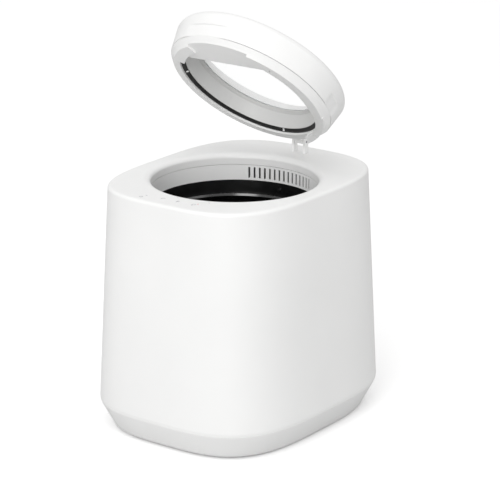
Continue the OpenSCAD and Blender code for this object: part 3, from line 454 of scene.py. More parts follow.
@dataclass(frozen=True)
class Studio:
    """Pale floor, soft light and the camera of the photograph."""

    azimuth: float = 36.38
    elevation: float = 17.49
    distance: float = 3.138
    across: float = 0.0125
    up: float = 0.0647
    aim_height: float = 0.15
    lens: float = 187.2
    floor_half: float = 14.0
    floor_grey: float = 0.81
    floor_glow: float = 0.16
    surround: float = 0.76
    lamps: tuple[Lamp, ...] = (Lamp("key", (1.3, -3.9, 1.9), 2.2, 68.0),
                               Lamp("top", (0.3, -1.2, 3.2), 2.0, 15.0),
                               Lamp("side", (3.6, 0.4, 1.4), 1.6, 6.0))

    def axes(self) -> tuple[Vector, Vector, Vector]:
        """The camera's back, right and up directions."""
        a = math.radians(self.azimuth)
        e = math.radians(self.elevation)
        back = Vector((math.sin(a) * math.cos(e), -math.cos(a) * math.cos(e), math.sin(e)))
        right = Vector((math.cos(a), math.sin(a), 0.0))
        return back, right, back.cross(right)

    def camera(self) -> None:
        """Set up the camera at the photograph's angle."""
        back, right, up = self.axes()
        aim = Vector((0.0, 0.0, self.aim_height)) + right * self.across + up * self.up
        data = bpy.data.cameras.new("camera")
        data.lens = self.lens
        data.clip_end = 100.0
        camera = bpy.data.objects.new("camera", data)
        camera.matrix_world = Matrix((right, up, back)).transposed().to_4x4()
        camera.location = aim + back * self.distance
        bpy.context.scene.collection.objects.link(camera)
        bpy.context.scene.camera = camera

    def floor(self) -> None:
        """Lay the floor, which is white to the eye and still takes the shadow of the object."""
        h = self.floor_half
        mesh = bpy.data.meshes.new("floor")
        mesh.from_pydata([(-h, -h, 0), (h, -h, 0), (h, h, 0), (-h, h, 0)], [], [(0, 1, 2, 3)])
        floor = bpy.data.objects.new("floor", mesh)
        bpy.context.scene.collection.objects.link(floor)
        shader = Shader("studio_floor", 0.9)
        shader.set("Specular IOR Level", 0.0)
        path = shader.nodes.new("ShaderNodeLightPath")
        glow = shader.nodes.new("ShaderNodeEmission")
        glow.inputs["Color"].default_value = (1.0, 0.995, 0.99, 1.0)
        paint = shader.nodes.new("ShaderNodeMix")
        paint.data_type = "RGBA"
        paint.inputs["A"].default_value = linear((self.floor_grey,) * 3)
        paint.inputs["B"].default_value = (1.0, 1.0, 1.0, 1.0)
        seen = shader.nodes.new("ShaderNodeMath")
        seen.operation = "MAXIMUM"
        shader.links.new(path.outputs["Is Camera Ray"], seen.inputs[0])
        shader.links.new(path.outputs["Is Transmission Ray"], seen.inputs[1])
        shader.links.new(seen.outputs["Value"], paint.inputs["Factor"])
        shader.links.new(paint.outputs["Result"], shader.surface.inputs["Base Color"])
        level = shader.nodes.new("ShaderNodeMath")
        level.operation = "MULTIPLY"
        level.inputs[1].default_value = self.floor_glow
        shader.links.new(seen.outputs["Value"], level.inputs[0])
        shader.links.new(level.outputs["Value"], glow.inputs["Strength"])
        both = shader.nodes.new("ShaderNodeAddShader")
        shader.links.new(shader.surface.outputs["BSDF"], both.inputs[0])
        shader.links.new(glow.outputs["Emission"], both.inputs[1])
        shader.links.new(both.outputs["Shader"], shader.nodes["Material Output"].inputs["Surface"])
        mesh.materials.append(shader.material)

    def world(self) -> None:
        """Light everything evenly from a pale surround that the camera sees as white."""
        world = bpy.data.worlds.new("surround")
        world.use_nodes = True
        nodes = world.node_tree.nodes
        links = world.node_tree.links
        background = nodes["Background"]
        background.inputs["Color"].default_value = (1.0, 1.0, 1.0, 1.0)
        path = nodes.new("ShaderNodeLightPath")
        clear = nodes.new("ShaderNodeMath")
        clear.operation = "MAXIMUM"
        links.new(path.outputs["Is Camera Ray"], clear.inputs[0])
        links.new(path.outputs["Is Transmission Ray"], clear.inputs[1])
        strength = nodes.new("ShaderNodeMapRange")
        strength.inputs["To Min"].default_value = self.surround
        strength.inputs["To Max"].default_value = 1.0
        links.new(clear.outputs["Value"], strength.inputs["Value"])
        links.new(strength.outputs["Result"], background.inputs["Strength"])
        bpy.context.scene.world = world

    def build(self) -> None:
        """Set up the whole studio."""
        bpy.context.scene.view_settings.view_transform = "Standard"
        self.camera()
        self.floor()
        self.world()
        for lamp in self.lamps:
            lamp.hang(Vector((0.0, 0.0, self.aim_height)))
        LOG.info("studio is set up")


class Axis(Enum):
    """Direction in which an outline is drawn out."""

    Y = (0, 2, 1)
    Z = (0, 1, 2)


def rounded(x: float, y: float, width: float, height: float, radius: float) -> list[Point2]:
    """Outline of a rectangle with round corners, down to a stadium or a circle.

    Args:
        x: Middle across.
        y: Middle along.
        width: Size across.
        height: Size along.
        radius: Radius of the corners.

    Returns:
        The points of the outline in millimetres.
    """
    corners = ((1, 1), (-1, 1), (-1, -1), (1, -1))
    points = []
    for k, (sx, sy) in enumerate(corners):
        for i in range(9):
            a = math.radians(90 * k + 90 * i / 8)
            points.append((x + sx * (width / 2 - radius) + radius * math.cos(a),
                           y + sy * (height / 2 - radius) + radius * math.sin(a)))
    return points


def wedge(start: float, end: float, radius: float) -> list[Point2]:
    """Outline of a wedge between two angles, counted from the front towards +x."""
    steps = max(2, round(abs(end - start) / 4))
    turns = [math.radians(start + (end - start) * i / steps) for i in range(steps + 1)]
    return [(0.0, 0.0)] + [(radius * math.sin(t), -radius * math.cos(t)) for t in turns]


def soft_step(value: float) -> float:
    """Smooth run from 0 to 1 as a value goes from 0 to 1."""
    v = min(1.0, max(0.0, value))
    return v * v * (3 - 2 * v)


class Shell:
    """Mesh under construction in millimetres, made of closed rings and prisms."""

    def __init__(self, place: Matrix | None = None) -> None:
        """Start an empty mesh.

        Args:
            place: Where its own axes lie in the frame, in millimetres.
        """
        self.place = place or Matrix()
        self.points: list[Vector] = []
        self.faces: list[tuple[int, ...]] = []

    def ring(self, points: Iterable[Point3]) -> list[int]:
        """Add a ring of points and return their numbers."""
        start = len(self.points)
        self.points.extend(self.place @ Vector(p) for p in points)
        return list(range(start, len(self.points)))

    def band(self, first: Sequence[int], second: Sequence[int]) -> None:
        """Join two rings of equal count with a band of faces."""
        for i in range(len(first)):
            j = (i + 1) % len(first)
            self.faces.append((first[i], first[j], second[j], second[i]))

    def skin(self, rings: Sequence[Sequence[int]], closed: bool = True) -> None:
        """Join rings in turn, and either close them into a loop or cap both ends.

        Args:
            rings: The rings in order along the surface.
            closed: Whether the last ring joins the first one again.
        """
        for first, second in zip(rings, rings[1:]):
            self.band(first, second)
        if closed:
            self.band(rings[-1], rings[0])
        else:
            self.faces.append(tuple(rings[0]))
            self.faces.append(tuple(rings[-1]))

    def prism(self, outline: Sequence[Point2], axis: Axis, low: float, high: float,
              turn: Matrix | None = None) -> None:
        """Draw an outline out into a closed block.

        Args:
            outline: Points of the outline on the two other axes.
            axis: Direction of the block's length.
            low: Where it starts along that axis.
            high: Where it ends along that axis.
            turn: Extra placing of this block alone.
        """
        spot = turn or Matrix()
        ends = []
        for along in (low, high):
            flat = [(*p, along) for p in outline]
            ends.append(self.ring([spot @ Vector([p[k] for k in axis.value]) for p in flat]))
        self.skin(ends, closed=False)

    def lathe(self, section: Sequence[tuple[float, ...]], segments: int = 240, closed: bool = True) -> None:
        """Turn a section round the upright axis.

        Args:
            section: Radius, height and, where a corner is rounded, its fillet radius.
            segments: Faces round the axis.
            closed: False for a section that starts and ends near the axis and is capped there.
        """
        turns = [TAU * i / segments for i in range(segments)]
        rings = [self.ring([(r * math.sin(t), -r * math.cos(t), z) for t in turns])
                 for r, z in fillet(section, closed)]
        self.skin(rings, closed)

    def make(self, name: str) -> bpy.types.Object:
        """Turn the mesh into an object of the scene.

        Args:
            name: Name of the object.

        Returns:
            The object, with its points in metres.
        """
        mesh = bpy.data.meshes.new(name)
        mesh.from_pydata([p * MM for p in self.points], [], self.faces)
        work = bmesh.new()
        work.from_mesh(mesh)
        bmesh.ops.remove_doubles(work, verts=work.verts, dist=1e-7)
        bmesh.ops.recalc_face_normals(work, faces=work.faces)
        work.to_mesh(mesh)
        work.free()
        obj = bpy.data.objects.new(name, mesh)
        bpy.context.scene.collection.objects.link(obj)
        return obj


def fillet(section: Sequence[tuple[float, ...]], closed: bool = True, steps: int = 4) -> list[Point2]:
    """Round the marked corners of a section.

    Args:
        section: Points with an optional third value, the fillet radius of that corner.
        closed: Whether the last point joins the first one.
        steps: Faces along each rounded corner.

    Returns:
        The plain points of the rounded section.
    """
    points = []
    count = len(section)
    for i, entry in enumerate(section):
        corner = Vector(entry[:2])
        inner = closed or 0 < i < count - 1
        if len(entry) < 3 or not inner:
            points.append((corner.x, corner.y))
            continue
        before = Vector(section[i - 1][:2]) - corner
        after = Vector(section[(i + 1) % count][:2]) - corner
        half = before.angle(after) / 2
        reach = min(entry[2] / math.tan(half), before.length * 0.48, after.length * 0.48)
        start = corner + before.normalized() * reach
        end = corner + after.normalized() * reach
        n = max(steps, math.ceil(entry[2]) * 2)
        for k in range(n + 1):
            t = k / n
            spot = start * (1 - t) ** 2 + corner * 2 * t * (1 - t) + end * t * t
            points.append((spot.x, spot.y))
    return points


def bake(obj: bpy.types.Object) -> None:
    """Replace an object's mesh by the result of its modifiers."""
    graph = bpy.context.evaluated_depsgraph_get()
    mesh = bpy.data.meshes.new_from_object(obj.evaluated_get(graph))
    obj.modifiers.clear()
    obj.data = mesh


def carve(obj: bpy.types.Object, tool: Shell | bpy.types.Object, operation: str = "DIFFERENCE") -> None:
    """Cut a solid out of an object, or add it on, and use it up.

    Args:
        obj: Object that is changed.
        tool: Shell or object to cut with or to add.
        operation: DIFFERENCE or UNION.
    """
    cutter = tool.make("tool") if isinstance(tool, Shell) else tool
    modifier = obj.modifiers.new("carve", "BOOLEAN")
    modifier.operation = operation
    modifier.solver = "MANIFOLD"
    modifier.object = cutter
    bake(obj)
    bpy.data.objects.remove(cutter)


def settle(obj: bpy.types.Object, sharp: float = 32.0) -> None:
    """Shade an object smoothly between its real edges.

    Args:
        obj: Object that is finished.
        sharp: Least angle of a real edge in degrees.
    """
    obj.data.shade_smooth()
    obj.data.set_sharp_from_angle(angle=math.radians(sharp))
    modifier = obj.modifiers.new("normals", "WEIGHTED_NORMAL")
    modifier.keep_sharp = True
    bake(obj)


@dataclass(frozen=True)
class BodyForm:
    """Squared oval form of the body, in millimetres."""

    power: float = 3.3
    base: Point2 = (120.0, 149.8)
    belt: Point2 = (135.5, 165.2)
    deck: Point2 = (124.0, 153.7)
    flat: Point2 = (0.9994, 0.9994)
    foot_z: float = 2.0
    belt_z: float = 34.0
    deck_z: float = DECK_Z
    blend: float = 4.0
    count: int = 320

    def half(self, z: float, side: int) -> float:
        """Half size at a height, with the belt line rounded.

        Args:
            z: Height above the floor.
            side: 0 for the half width and 1 for the half depth.

        Returns:
            The half size.
        """
        def low(h: float) -> float:
            """Half size on the chamfer."""
            return self.base[side] + (self.belt[side] - self.base[side]) * (h - self.foot_z) / (
                self.belt_z - self.foot_z)

        def high(h: float) -> float:
            """Half size on the wall."""
            return self.belt[side] + (self.deck[side] - self.belt[side]) * (h - self.belt_z) / (
                self.deck_z - self.belt_z)

        start = self.belt_z - self.blend
        end = self.belt_z + self.blend
        if z <= start:
            return low(z)
        if z >= end:
            return high(z)
        t = (z - start) / (end - start)
        return (1 - t) ** 2 * low(start) + 2 * t * (1 - t) * self.belt[side] + t * t * high(end)

    def outline(self, width: float, depth: float, turn: float) -> Point2:
        """Point of the squared oval in one direction."""
        c = abs(math.cos(turn)) / width
        s = abs(math.sin(turn)) / depth
        r = (c ** self.power + s ** self.power) ** (-1 / self.power)
        return r * math.cos(turn), r * math.sin(turn)

    def turns(self) -> list[float]:
        """Directions that space the points evenly along the belt."""
        fine = [TAU * i / 7200 for i in range(7201)]
        spots = [self.outline(*self.belt, t) for t in fine]
        run = [0.0]
        for a, b in zip(spots, spots[1:]):
            run.append(run[-1] + math.dist(a, b))
        even = []
        k = 0
        for i in range(self.count):
            goal = run[-1] * i / self.count
            while run[k + 1] < goal:
                k += 1
            share = (goal - run[k]) / (run[k + 1] - run[k])
            even.append(fine[k] + share * (fine[k + 1] - fine[k]))
        return even

    def ring(self, turns: Sequence[float], z: float, inset: float = 0.0) -> list[Point3]:
        """One ring of the surface at a height, moved in by an inset."""
        width = self.half(z, 0) - inset
        depth = self.half(z, 1) - inset
        limit = (width * self.flat[0], depth * self.flat[1])
        points = []
        for turn in turns:
            x, y = self.outline(width, depth, turn)
            points.append((max(-limit[0], min(limit[0], x)), max(-limit[1], min(limit[1], y)), z))
        return points


@dataclass(frozen=True)
class Fitter:
    """Finishes pieces and fixes them to their bodies."""

    palette: Palette

    def place(self, obj: bpy.types.Object, body: Body, slot: Slot, *nodes: str) -> bpy.types.Object:
        """Give a piece its finish, its body and the construction that it stands for.

        Args:
            obj: The piece.
            body: Body that carries it.
            slot: Its finish.
            nodes: Construction nodes that it replaces.

        Returns:
            The same piece.
        """
        self.palette.dress(obj, self.palette[slot])
        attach(obj, body.value)
        if nodes:
            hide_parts(*nodes)
        LOG.info("%s rides on %s", obj.name, body.value)
        return obj


@dataclass(frozen=True)
class Housing:
    """Moulded outer housing with its round mouth, rear door opening, grille and inlet."""

    form: BodyForm = BodyForm()
    wall: float = 3.0
    edge: float = 4.0
    well_y: float = WELL_Y
    mouth_r: float = 109.0
    mouth_edge: Point2 = (9.0, 6.0)
    lip_z: float = 286.5
    lip_r: Point2 = (100.0, 103.0)
    flange: Point2 = (112.0, 294.5)
    under_z: float = 297.0
    deck_cut: Point2 = (296.0, 301.0)
    rear_cut: Point2 = (146.5, 175.0)
    door: tuple[float, ...] = (0.0, 213.0, 124.0, 87.0, 3.0)
    grille: Point3 = (60.0, 3.4, 1.7)
    grille_z: float = 130.0
    grille_rows: int = 8
    grille_pitch: float = 6.4
    inlet: tuple[float, ...] = (-45.0, 62.0, 30.0, 22.0, 1.5)
    inlet_cut: Point2 = (100.0, 175.0)
    hinge_post: tuple[float, ...] = (124.6, 4.0, 7.4, 0.8)
    hinge_post_x: float = 8.1
    lens: tuple[float, ...] = (-133.2, 2.8, 2.8, 1.4)
    lens_x: tuple[float, ...] = (-35.0, -13.0, 9.0, 31.0)

    def circle(self, plan: Sequence[Point3], radius: float, z: float) -> list[Point3]:
        """Round ring about the well whose points face the points of the outline."""
        points = []
        for x, y, _ in plan:
            turn = math.atan2(y - self.well_y, x)
            points.append((radius * math.cos(turn), self.well_y + radius * math.sin(turn), z))
        return points

    def skin(self) -> Shell:
        """Make the wall, the deck and the mouth as one closed skin."""
        form = self.form
        turns = form.turns()
        shell = Shell()
        outer = [(34.0, 0.35), (34.35, 0.0)] + [(z, 0.0) for z in (35.0, 36, 37, 38, 120, 208)]
        steps = [math.radians(90 * i / 8) for i in range(9)]
        top = form.deck_z - self.edge
        outer += [(top + self.edge * math.sin(a), self.edge * (1 - math.cos(a))) for a in steps]
        rings = [shell.ring(form.ring(turns, z, inset)) for z, inset in outer]
        plan = form.ring(turns, form.deck_z, self.edge)
        wide, tall = self.mouth_edge
        lip = [(self.mouth_r - wide * math.cos(a), form.deck_z - tall + tall * math.sin(a))
               for a in (math.radians(90 * i / 12) for i in range(12, -1, -1))]
        low = self.lip_z
        inside, outside = self.lip_r
        rim, rim_z = self.flange
        lip += [(inside, low + 0.4), (inside + 0.12, low + 0.12), (inside + 0.4, low), (outside - 0.3, low),
                (outside, low + 0.3), (outside, rim_z - 1.5), (outside + 2.5, rim_z - 0.7), (rim, rim_z),
                (rim, self.under_z)]
        rings += [shell.ring(self.circle(plan, r, z)) for r, z in lip]
        inner = [self.under_z, 38.0, 36.0, 34.0]
        rings += [shell.ring(form.ring(turns, z, self.wall)) for z in inner]
        shell.skin(rings)
        return shell

    def openings(self) -> Shell:
        """Make everything that is cut through the wall and the deck."""
        tool = Shell()
        tool.prism(rounded(*self.door), Axis.Y, *self.rear_cut)
        for i in range(self.grille_rows):
            z = self.grille_z + (i - (self.grille_rows - 1) / 2) * self.grille_pitch
            tool.prism(rounded(0, z, *self.grille), Axis.Y, *self.rear_cut)
        tool.prism(rounded(*self.inlet), Axis.Y, *self.inlet_cut)
        for side in (-1, 1):
            tool.prism(rounded(side * self.hinge_post_x, *self.hinge_post), Axis.Z, *self.deck_cut)
        for x in self.lens_x:
            tool.prism(rounded(x, *self.lens), Axis.Z, *self.deck_cut)
        return tool

    def bosses(self) -> Shell:
        """Make the four screw bosses inside the wall."""
        tool = Shell()
        for sx in (-1, 1):
            for sy in (-1, 1):
                tool.prism(rounded(sx * BOSS.x, sy * BOSS.y, 2 * BOSS.radius, 2 * BOSS.radius, BOSS.radius),
                           Axis.Z, BOSS.low, BOSS.high)
        return tool

    def build(self, fitter: Fitter) -> None:
        """Build the housing."""
        obj = self.skin().make("housing_skin")
        carve(obj, self.bosses(), "UNION")
        carve(obj, self.openings())
        settle(obj)
        fitter.place(obj, Body.APPLIANCE, Slot.WHITE, "housing_shell", "mouth_ring")


@dataclass(frozen=True)
class Base:
    """Base tray with its chamfered skirt, foot seats, screw bosses and chassis posts."""

    form: BodyForm = BodyForm()
    wall: float = 3.0
    floor: float = 3.0
    post: Point2 = (60.0, 92.0)
    foot: Point2 = (84.0, 107.8)
    post_top: float = 88.0
    post_r: float = 7.0
    pilot_r: float = 1.6
    pilot_depth: float = 16.0
    screw_r: float = 2.2
    head_r: float = 4.5
    head_depth: float = 6.0
    foot_r: float = 11.3
    foot_depth: float = 3.2
    vent_y: float = -81.4
    vent: Point3 = (4.0, 50.0, 2.0)
    vent_pitch: float = 12.0
    vents_each_side: int = 2

    def skin(self) -> Shell:
        """Make the outer skirt and the inside of the tray."""
        form = self.form
        turns = form.turns()
        shell = Shell()
        low = form.foot_z
        outer = [(low, 2.0), (low + 0.25, 1.3), (low + 0.7, 0.7), (low + 1.3, 0.25), (low + 2.2, 0.0),
                 (14.0, 0.0), (30.0, 0.0), (31.0, 0.0), (32.0, 0.0), (33.0, 0.0), (33.65, 0.0), (34.0, 0.35)]
        inner = [(34.0, self.wall), (30.0, self.wall), (low + self.floor, self.wall + 1.0)]
        shell.skin([shell.ring(form.ring(turns, z, inset)) for z, inset in outer + inner], closed=False)
        return shell

    def lip(self) -> Shell:
        """Make the thin lip that centres the housing."""
        turns = self.form.turns()
        shell = Shell()
        rows = [(31.0, 2.5), (34.0, 3.3), (37.7, 3.3), (38.0, 3.6), (38.0, 5.0), (30.0, 4.6)]
        shell.skin([shell.ring(self.form.ring(turns, z, inset)) for z, inset in rows])
        return shell

    def pillars(self, spot: Point2, radius: float, low: float, high: float) -> Shell:
        """Make four round pillars at the corners of a rectangle.

        Args:
            spot: Half sizes of the rectangle.
            radius: Radius of a pillar.
            low: Height where it starts.
            high: Height where it ends.

        Returns:
            The four pillars.
        """
        tool = Shell()
        for sx in (-1, 1):
            for sy in (-1, 1):
                outline = rounded(sx * spot[0], sy * spot[1], 2 * radius, 2 * radius, radius)
                tool.prism(outline, Axis.Z, low, high)
        return tool

    def build(self, fitter: Fitter) -> None:
        """Build the base tray."""
        obj = self.skin().make("base_skin")
        boss = (BOSS.x, BOSS.y)
        carve(obj, self.lip(), "UNION")
        carve(obj, self.pillars(boss, BOSS.radius - 0.5, self.floor, BOSS.low), "UNION")
        carve(obj, self.pillars(self.post, self.post_r, self.floor, self.post_top), "UNION")
        carve(obj, self.pillars(boss, self.screw_r, 0.0, BOSS.low + 1))
        carve(obj, self.pillars(boss, self.head_r, 0.0, self.head_depth))
        carve(obj, self.pillars(self.post, self.pilot_r, self.post_top - self.pilot_depth, self.post_top + 1))
        carve(obj, self.pillars(self.foot, self.foot_r, 0.0, self.foot_depth))
        vents = Shell()
        for i in range(-self.vents_each_side, self.vents_each_side + 1):
            vents.prism(rounded(i * self.vent_pitch, self.vent_y, *self.vent), Axis.Z, 0.0, 12.0)
        carve(obj, vents)
        settle(obj)
        fitter.place(obj, Body.APPLIANCE, Slot.WHITE, "base_tray")


@dataclass(frozen=True)
class Throat:
    """Slotted collar and funnel between the mouth and the bucket."""

    centre: Point3 = (0.0, WELL_Y, 0.0)
    inner: float = 100.0
    outer: float = 103.0
    low: float = 267.2
    high: float = 286.2
    slots: int = 15
    pitch: float = 3.78
    slot: Point3 = (2.3, 13.5, 0.5)
    thin_wall: float = 1.0
    edge: float = 1.6
    funnel_low: float = 248.6
    funnel_inner: float = 98.6
    funnel_wall: float = 3.0
    probe: tuple[float, ...] = (0.0, 260.0, 3.04, 3.04, 1.52)
    probe_turn: float = 3.0
    cut: Point2 = (90.0, 112.0)

    def build(self, fitter: Fitter) -> None:
        """Build both rings."""
        place = Matrix.Translation(self.centre)
        collar = Shell(place)
        cored = self.inner + self.thin_wall
        collar.lathe([(self.inner, self.low), (self.outer, self.low), (self.outer, self.low + self.edge),
                      (cored, self.low + self.edge), (cored, self.high - self.edge),
                      (self.outer, self.high - self.edge), (self.outer, self.high),
                      (self.inner, self.high)], 320)
        ring = collar.make("collar_ring")
        tool = Shell(place)
        for i in range(self.slots):
            turn = Matrix.Rotation(math.radians((i - (self.slots - 1) / 2) * self.pitch), 4, "Z")
            tool.prism(rounded(0, (self.low + self.high) / 2, *self.slot), Axis.Y, *self.cut, turn)
        carve(ring, tool)
        settle(ring)
        fitter.place(ring, Body.APPLIANCE, Slot.WHITE, "vent_collar")
        funnel = Shell(place)
        foot = self.funnel_low
        narrow = self.funnel_inner
        wide = self.outer - 0.1
        funnel.lathe([(narrow, foot), (narrow + self.funnel_wall, foot), (wide, self.low - 2),
                      (wide, self.low), (self.inner - 0.3, self.low, 0.5), (narrow, foot + 1.6, 0.8)], 320)
        slope = funnel.make("funnel_slope")
        bore = Shell(place @ Matrix.Rotation(math.radians(self.probe_turn), 4, "Z"))
        bore.prism(rounded(*self.probe), Axis.Y, *self.cut)
        carve(slope, bore)
        settle(slope)
        fitter.place(slope, Body.APPLIANCE, Slot.BLACK, "funnel_ring")


@dataclass(frozen=True)
class Bucket:
    """Coated bucket with a rolled bead at its rim."""

    centre: Point3 = (0.0, WELL_Y, 0.0)
    radius: float = 94.5
    wall: float = 1.5
    low: float = 112.6
    rim: float = 248.6
    bead_r: float = 98.0
    bead_h: float = 3.0
    bead_lean: float = 1.1
    floor: float = 2.0
    bore: float = 9.02

    def build(self, fitter: Fitter) -> None:
        """Build the bucket."""
        r = self.radius
        inside = r - self.wall
        shell = Shell(Matrix.Translation(self.centre))
        top = self.rim + self.bead_h
        floor = self.low + self.floor
        shell.lathe([(self.bore, self.low), (r, self.low, 8.0), (r, self.rim, 0.3),
                     (self.bead_r, self.rim, 1.45), (self.bead_r, top, 1.45),
                     (inside + self.bead_lean, top, 0.7), (inside, self.rim + 0.1, 0.9),
                     (inside, floor, 6.5), (self.bore, floor)], 320)
        obj = shell.make("bucket_skin")
        settle(obj)
        fitter.place(obj, Body.BUCKET, Slot.COATING, "bucket")


@dataclass(frozen=True)
class Scoop:
    """Soft finger recess in the side of the lid."""

    start: float
    end: float
    top: float = 15.0
    depth: float = 1.5
    fade: float = 11.0

    def at(self, turn: float, z: float) -> float:
        """Depth of the recess at an angle and a height."""
        span = soft_step((turn - self.start) / self.fade) * soft_step((self.end - turn) / self.fade)
        return self.depth * span * soft_step((self.top - z) / 0.9)


@dataclass(frozen=True)
class Lid:
    """Open lid: a drafted cap with a sunken window, an inner rim and a light liner."""

    hinge: Point3 = (0.0, 124.6, 314.4)
    well_y: float = WELL_Y
    seam_z: float = 302.0
    opened: float = 46.0
    cap_r: float = 105.0
    cap_draft: float = 4.7
    skirt: float = 26.0
    crown: float = 9.0
    skirt_inner: float = 101.6
    window_r: float = 77.5
    shelf_z: float = 20.5
    leaf_hole: tuple[float, ...] = (12.4, 2.5, 2.5, 1.25)
    leaf_hole_x: float = 3.2
    ledge: float = -5.0
    ledge_r: float = 91.1
    plug_r: float = 100.4
    flange: Point2 = (104.3, -0.45)
    wall_r: Point2 = (101.3, 98.9)
    wall_top: float = 8.0
    web_r: float = 93.4
    web_z: Point2 = (0.2, -2.2)
    deep: float = -9.5
    deep_r: float = 83.0
    gap: Point2 = (151.0, 303.0)
    deep_cut: Point2 = (-11.0, -4.0)
    notch: float = -7.0
    notch_half: float = 26.0
    chord: Point2 = (88.0, 59.0)
    bite_turn: float = 165.0
    bite_shift: float = 13.5
    bite_r: float = 80.0
    tab_turns: Point2 = (106.0, 150.6)
    tab_r: Point2 = (92.5, 99.3)
    tab_low: float = -14.5
    tab_slope: float = 4.6
    slot: Point3 = (1.6, 5.0, 0.4)
    slot_spots: tuple[Point2, ...] = ((45.5, 90.0), (138.0, 96.0))
    magnet: tuple[float, ...] = (0.0, -76.0, 8.04, 8.04, 4.02)
    liner_foot: Point2 = (86.1, 0.4)
    liner_steps: tuple[Point2, ...] = ((79.2, 17.1), (78.4, 18.2), (77.6, 19.3))
    liner_rise: float = 1.1
    liner_back: tuple[Point2, ...] = ((82.5, 20.4), (88.7, 2.5), (88.0, 1.8))
    scoops: tuple[Scoop, ...] = (Scoop(-28, 12), Scoop(91, 111, fade=6.0), Scoop(-130, -112, fade=6.0))

    def frame(self) -> Matrix:
        """Place of the lid's own axes, with its seam at zero height."""
        hinge = Vector(self.hinge)
        offset = Vector((0.0, self.well_y - hinge.y, self.seam_z - hinge.z))
        turn = Matrix.Rotation(math.radians(-self.opened), 4, "X")
        return Matrix.Translation(hinge) @ turn @ Matrix.Translation(offset)

    def cap_section(self) -> tuple[list[Point2], list[Point2]]:
        """Outer and inner run of the cap's section."""
        foot, rise, crown = self.cap_r, self.skirt, self.crown
        outer = [(foot - 0.35, 0.0), (foot, 0.3)]
        outer += [(foot + self.cap_draft * z / rise, z)
                  for z in (1.5, 4, 7, 10, 12, 13, 13.6, 14, 14.4, 14.8, 15.2, 17, 21)]
        outer += [(foot + self.cap_draft - crown + crown * math.cos(a), rise + crown * math.sin(a))
                  for a in (math.radians(90 * i / 14) for i in range(15))]
        top, bore, shelf = rise + crown, self.window_r, self.shelf_z
        inner = fillet([(95.0, top), (87.0, top, 2.0), (bore, shelf + 3, 0.5), (bore, shelf + 1.5),
                        (bore + 2, shelf + 1.5), (bore + 2, shelf), (bore + 5, shelf), (90.6, top - 3),
                        (98.7, top - 3), (105.9, rise - 2), (self.skirt_inner, 9.0), (self.skirt_inner, 0.0)],
                       closed=False)
        return outer, inner[1:]

    def cap(self) -> Shell:
        """Make the cap with its soft finger recesses."""
        segments = 480
        shell = Shell(self.frame())
        outer, inner = self.cap_section()
        rings = []
        for k, (r, z) in enumerate(outer + inner):
            ring = []
            for i in range(segments):
                degrees = 360 * i / segments - 180
                turn = math.radians(degrees)
                dent = sum(s.at(degrees, z) for s in self.scoops) if k < len(outer) else 0.0
                ring.append(((r - dent) * math.sin(turn), -(r - dent) * math.cos(turn), z))
            rings.append(shell.ring(ring))
        shell.skin(rings)
        return shell

    def build_cap(self, fitter: Fitter) -> None:
        """Build the cap with the two screw holes of the hinge leaf."""
        obj = self.cap().make("cap_skin")
        holes = Shell(self.frame())
        for side in (-1, 1):
            holes.prism(rounded(side * self.leaf_hole_x, *self.leaf_hole), Axis.Y, 98, 112)
        carve(obj, holes)
        settle(obj)
        fitter.place(obj, Body.LID, Slot.WHITE, "lid_cap")

    def build_rim(self, fitter: Fitter) -> None:
        """Build the inner rim with its ledge, its deep ring and its straight segment."""
        place = self.frame()
        low, plug = self.ledge, self.plug_r
        flange_r, seam = self.flange
        outside, inside = self.wall_r
        above, below = self.web_z
        main = Shell(place)
        main.lathe([(self.ledge_r, low, 0.3), (plug, low, 0.5), (flange_r, seam, 0.3), (outside, seam),
                    (outside, self.wall_top), (inside, self.wall_top), (inside, above),
                    (self.web_r, above), (self.web_r, below), (self.ledge_r, below, 0.3)], 360)
        obj = main.make("rim_skin")
        deep = Shell(place)
        deep.lathe([(self.deep_r, self.deep, 0.5), (97.0, self.deep, 0.5), (plug - 0.1, low - 0.1),
                    (plug - 0.1, low + 0.4), (self.deep_r, low + 0.4, 0.4)], 360)
        ring = deep.make("rim_deep")
        gap = Shell(place)
        gap.prism(wedge(*self.gap, 110), Axis.Z, *self.deep_cut)
        carve(ring, gap)
        notch = Shell(place)
        notch.prism(wedge(-self.notch_half, self.notch_half, 110), Axis.Z, self.deep_cut[0], self.notch)
        carve(ring, notch)
        carve(ring, self.bite())
        carve(obj, ring, "UNION")
        carve(obj, self.tab(), "UNION")
        carve(obj, self.plate(), "UNION")
        cuts = Shell(place)
        for degrees, radius in self.slot_spots:
            turn = Matrix.Rotation(math.radians(degrees), 4, "Z")
            cuts.prism(rounded(0, -radius, *self.slot), Axis.Z, self.tab_low - 1.5, self.deep + 3, turn)
        cuts.prism(rounded(*self.magnet), Axis.Z, low - 0.6, 1)
        carve(obj, cuts)
        settle(obj)
        fitter.place(obj, Body.LID, Slot.WHITE, "lid_rim")

    def plate(self) -> Shell:
        """Make the flat segment that closes the front of the ring."""
        radius, chord = self.chord
        half = math.degrees(math.acos(chord / radius))
        turns = [math.radians(-half + 2 * half * i / 24) for i in range(25)]
        shell = Shell(self.frame())
        outline = [(radius * math.sin(a), -radius * math.cos(a)) for a in turns]
        shell.prism(outline, Axis.Z, self.notch, self.ledge + 0.5)
        return shell

    def bite(self) -> Shell:
        """Make the off-centre cylinder that widens the deep ring towards the rear."""
        a = math.radians(self.bite_turn)
        x, y = self.bite_shift * math.sin(a), -self.bite_shift * math.cos(a)
        tool = Shell(self.frame())
        tool.prism(rounded(x, y, 2 * self.bite_r, 2 * self.bite_r, self.bite_r), Axis.Z, *self.deep_cut)
        return tool

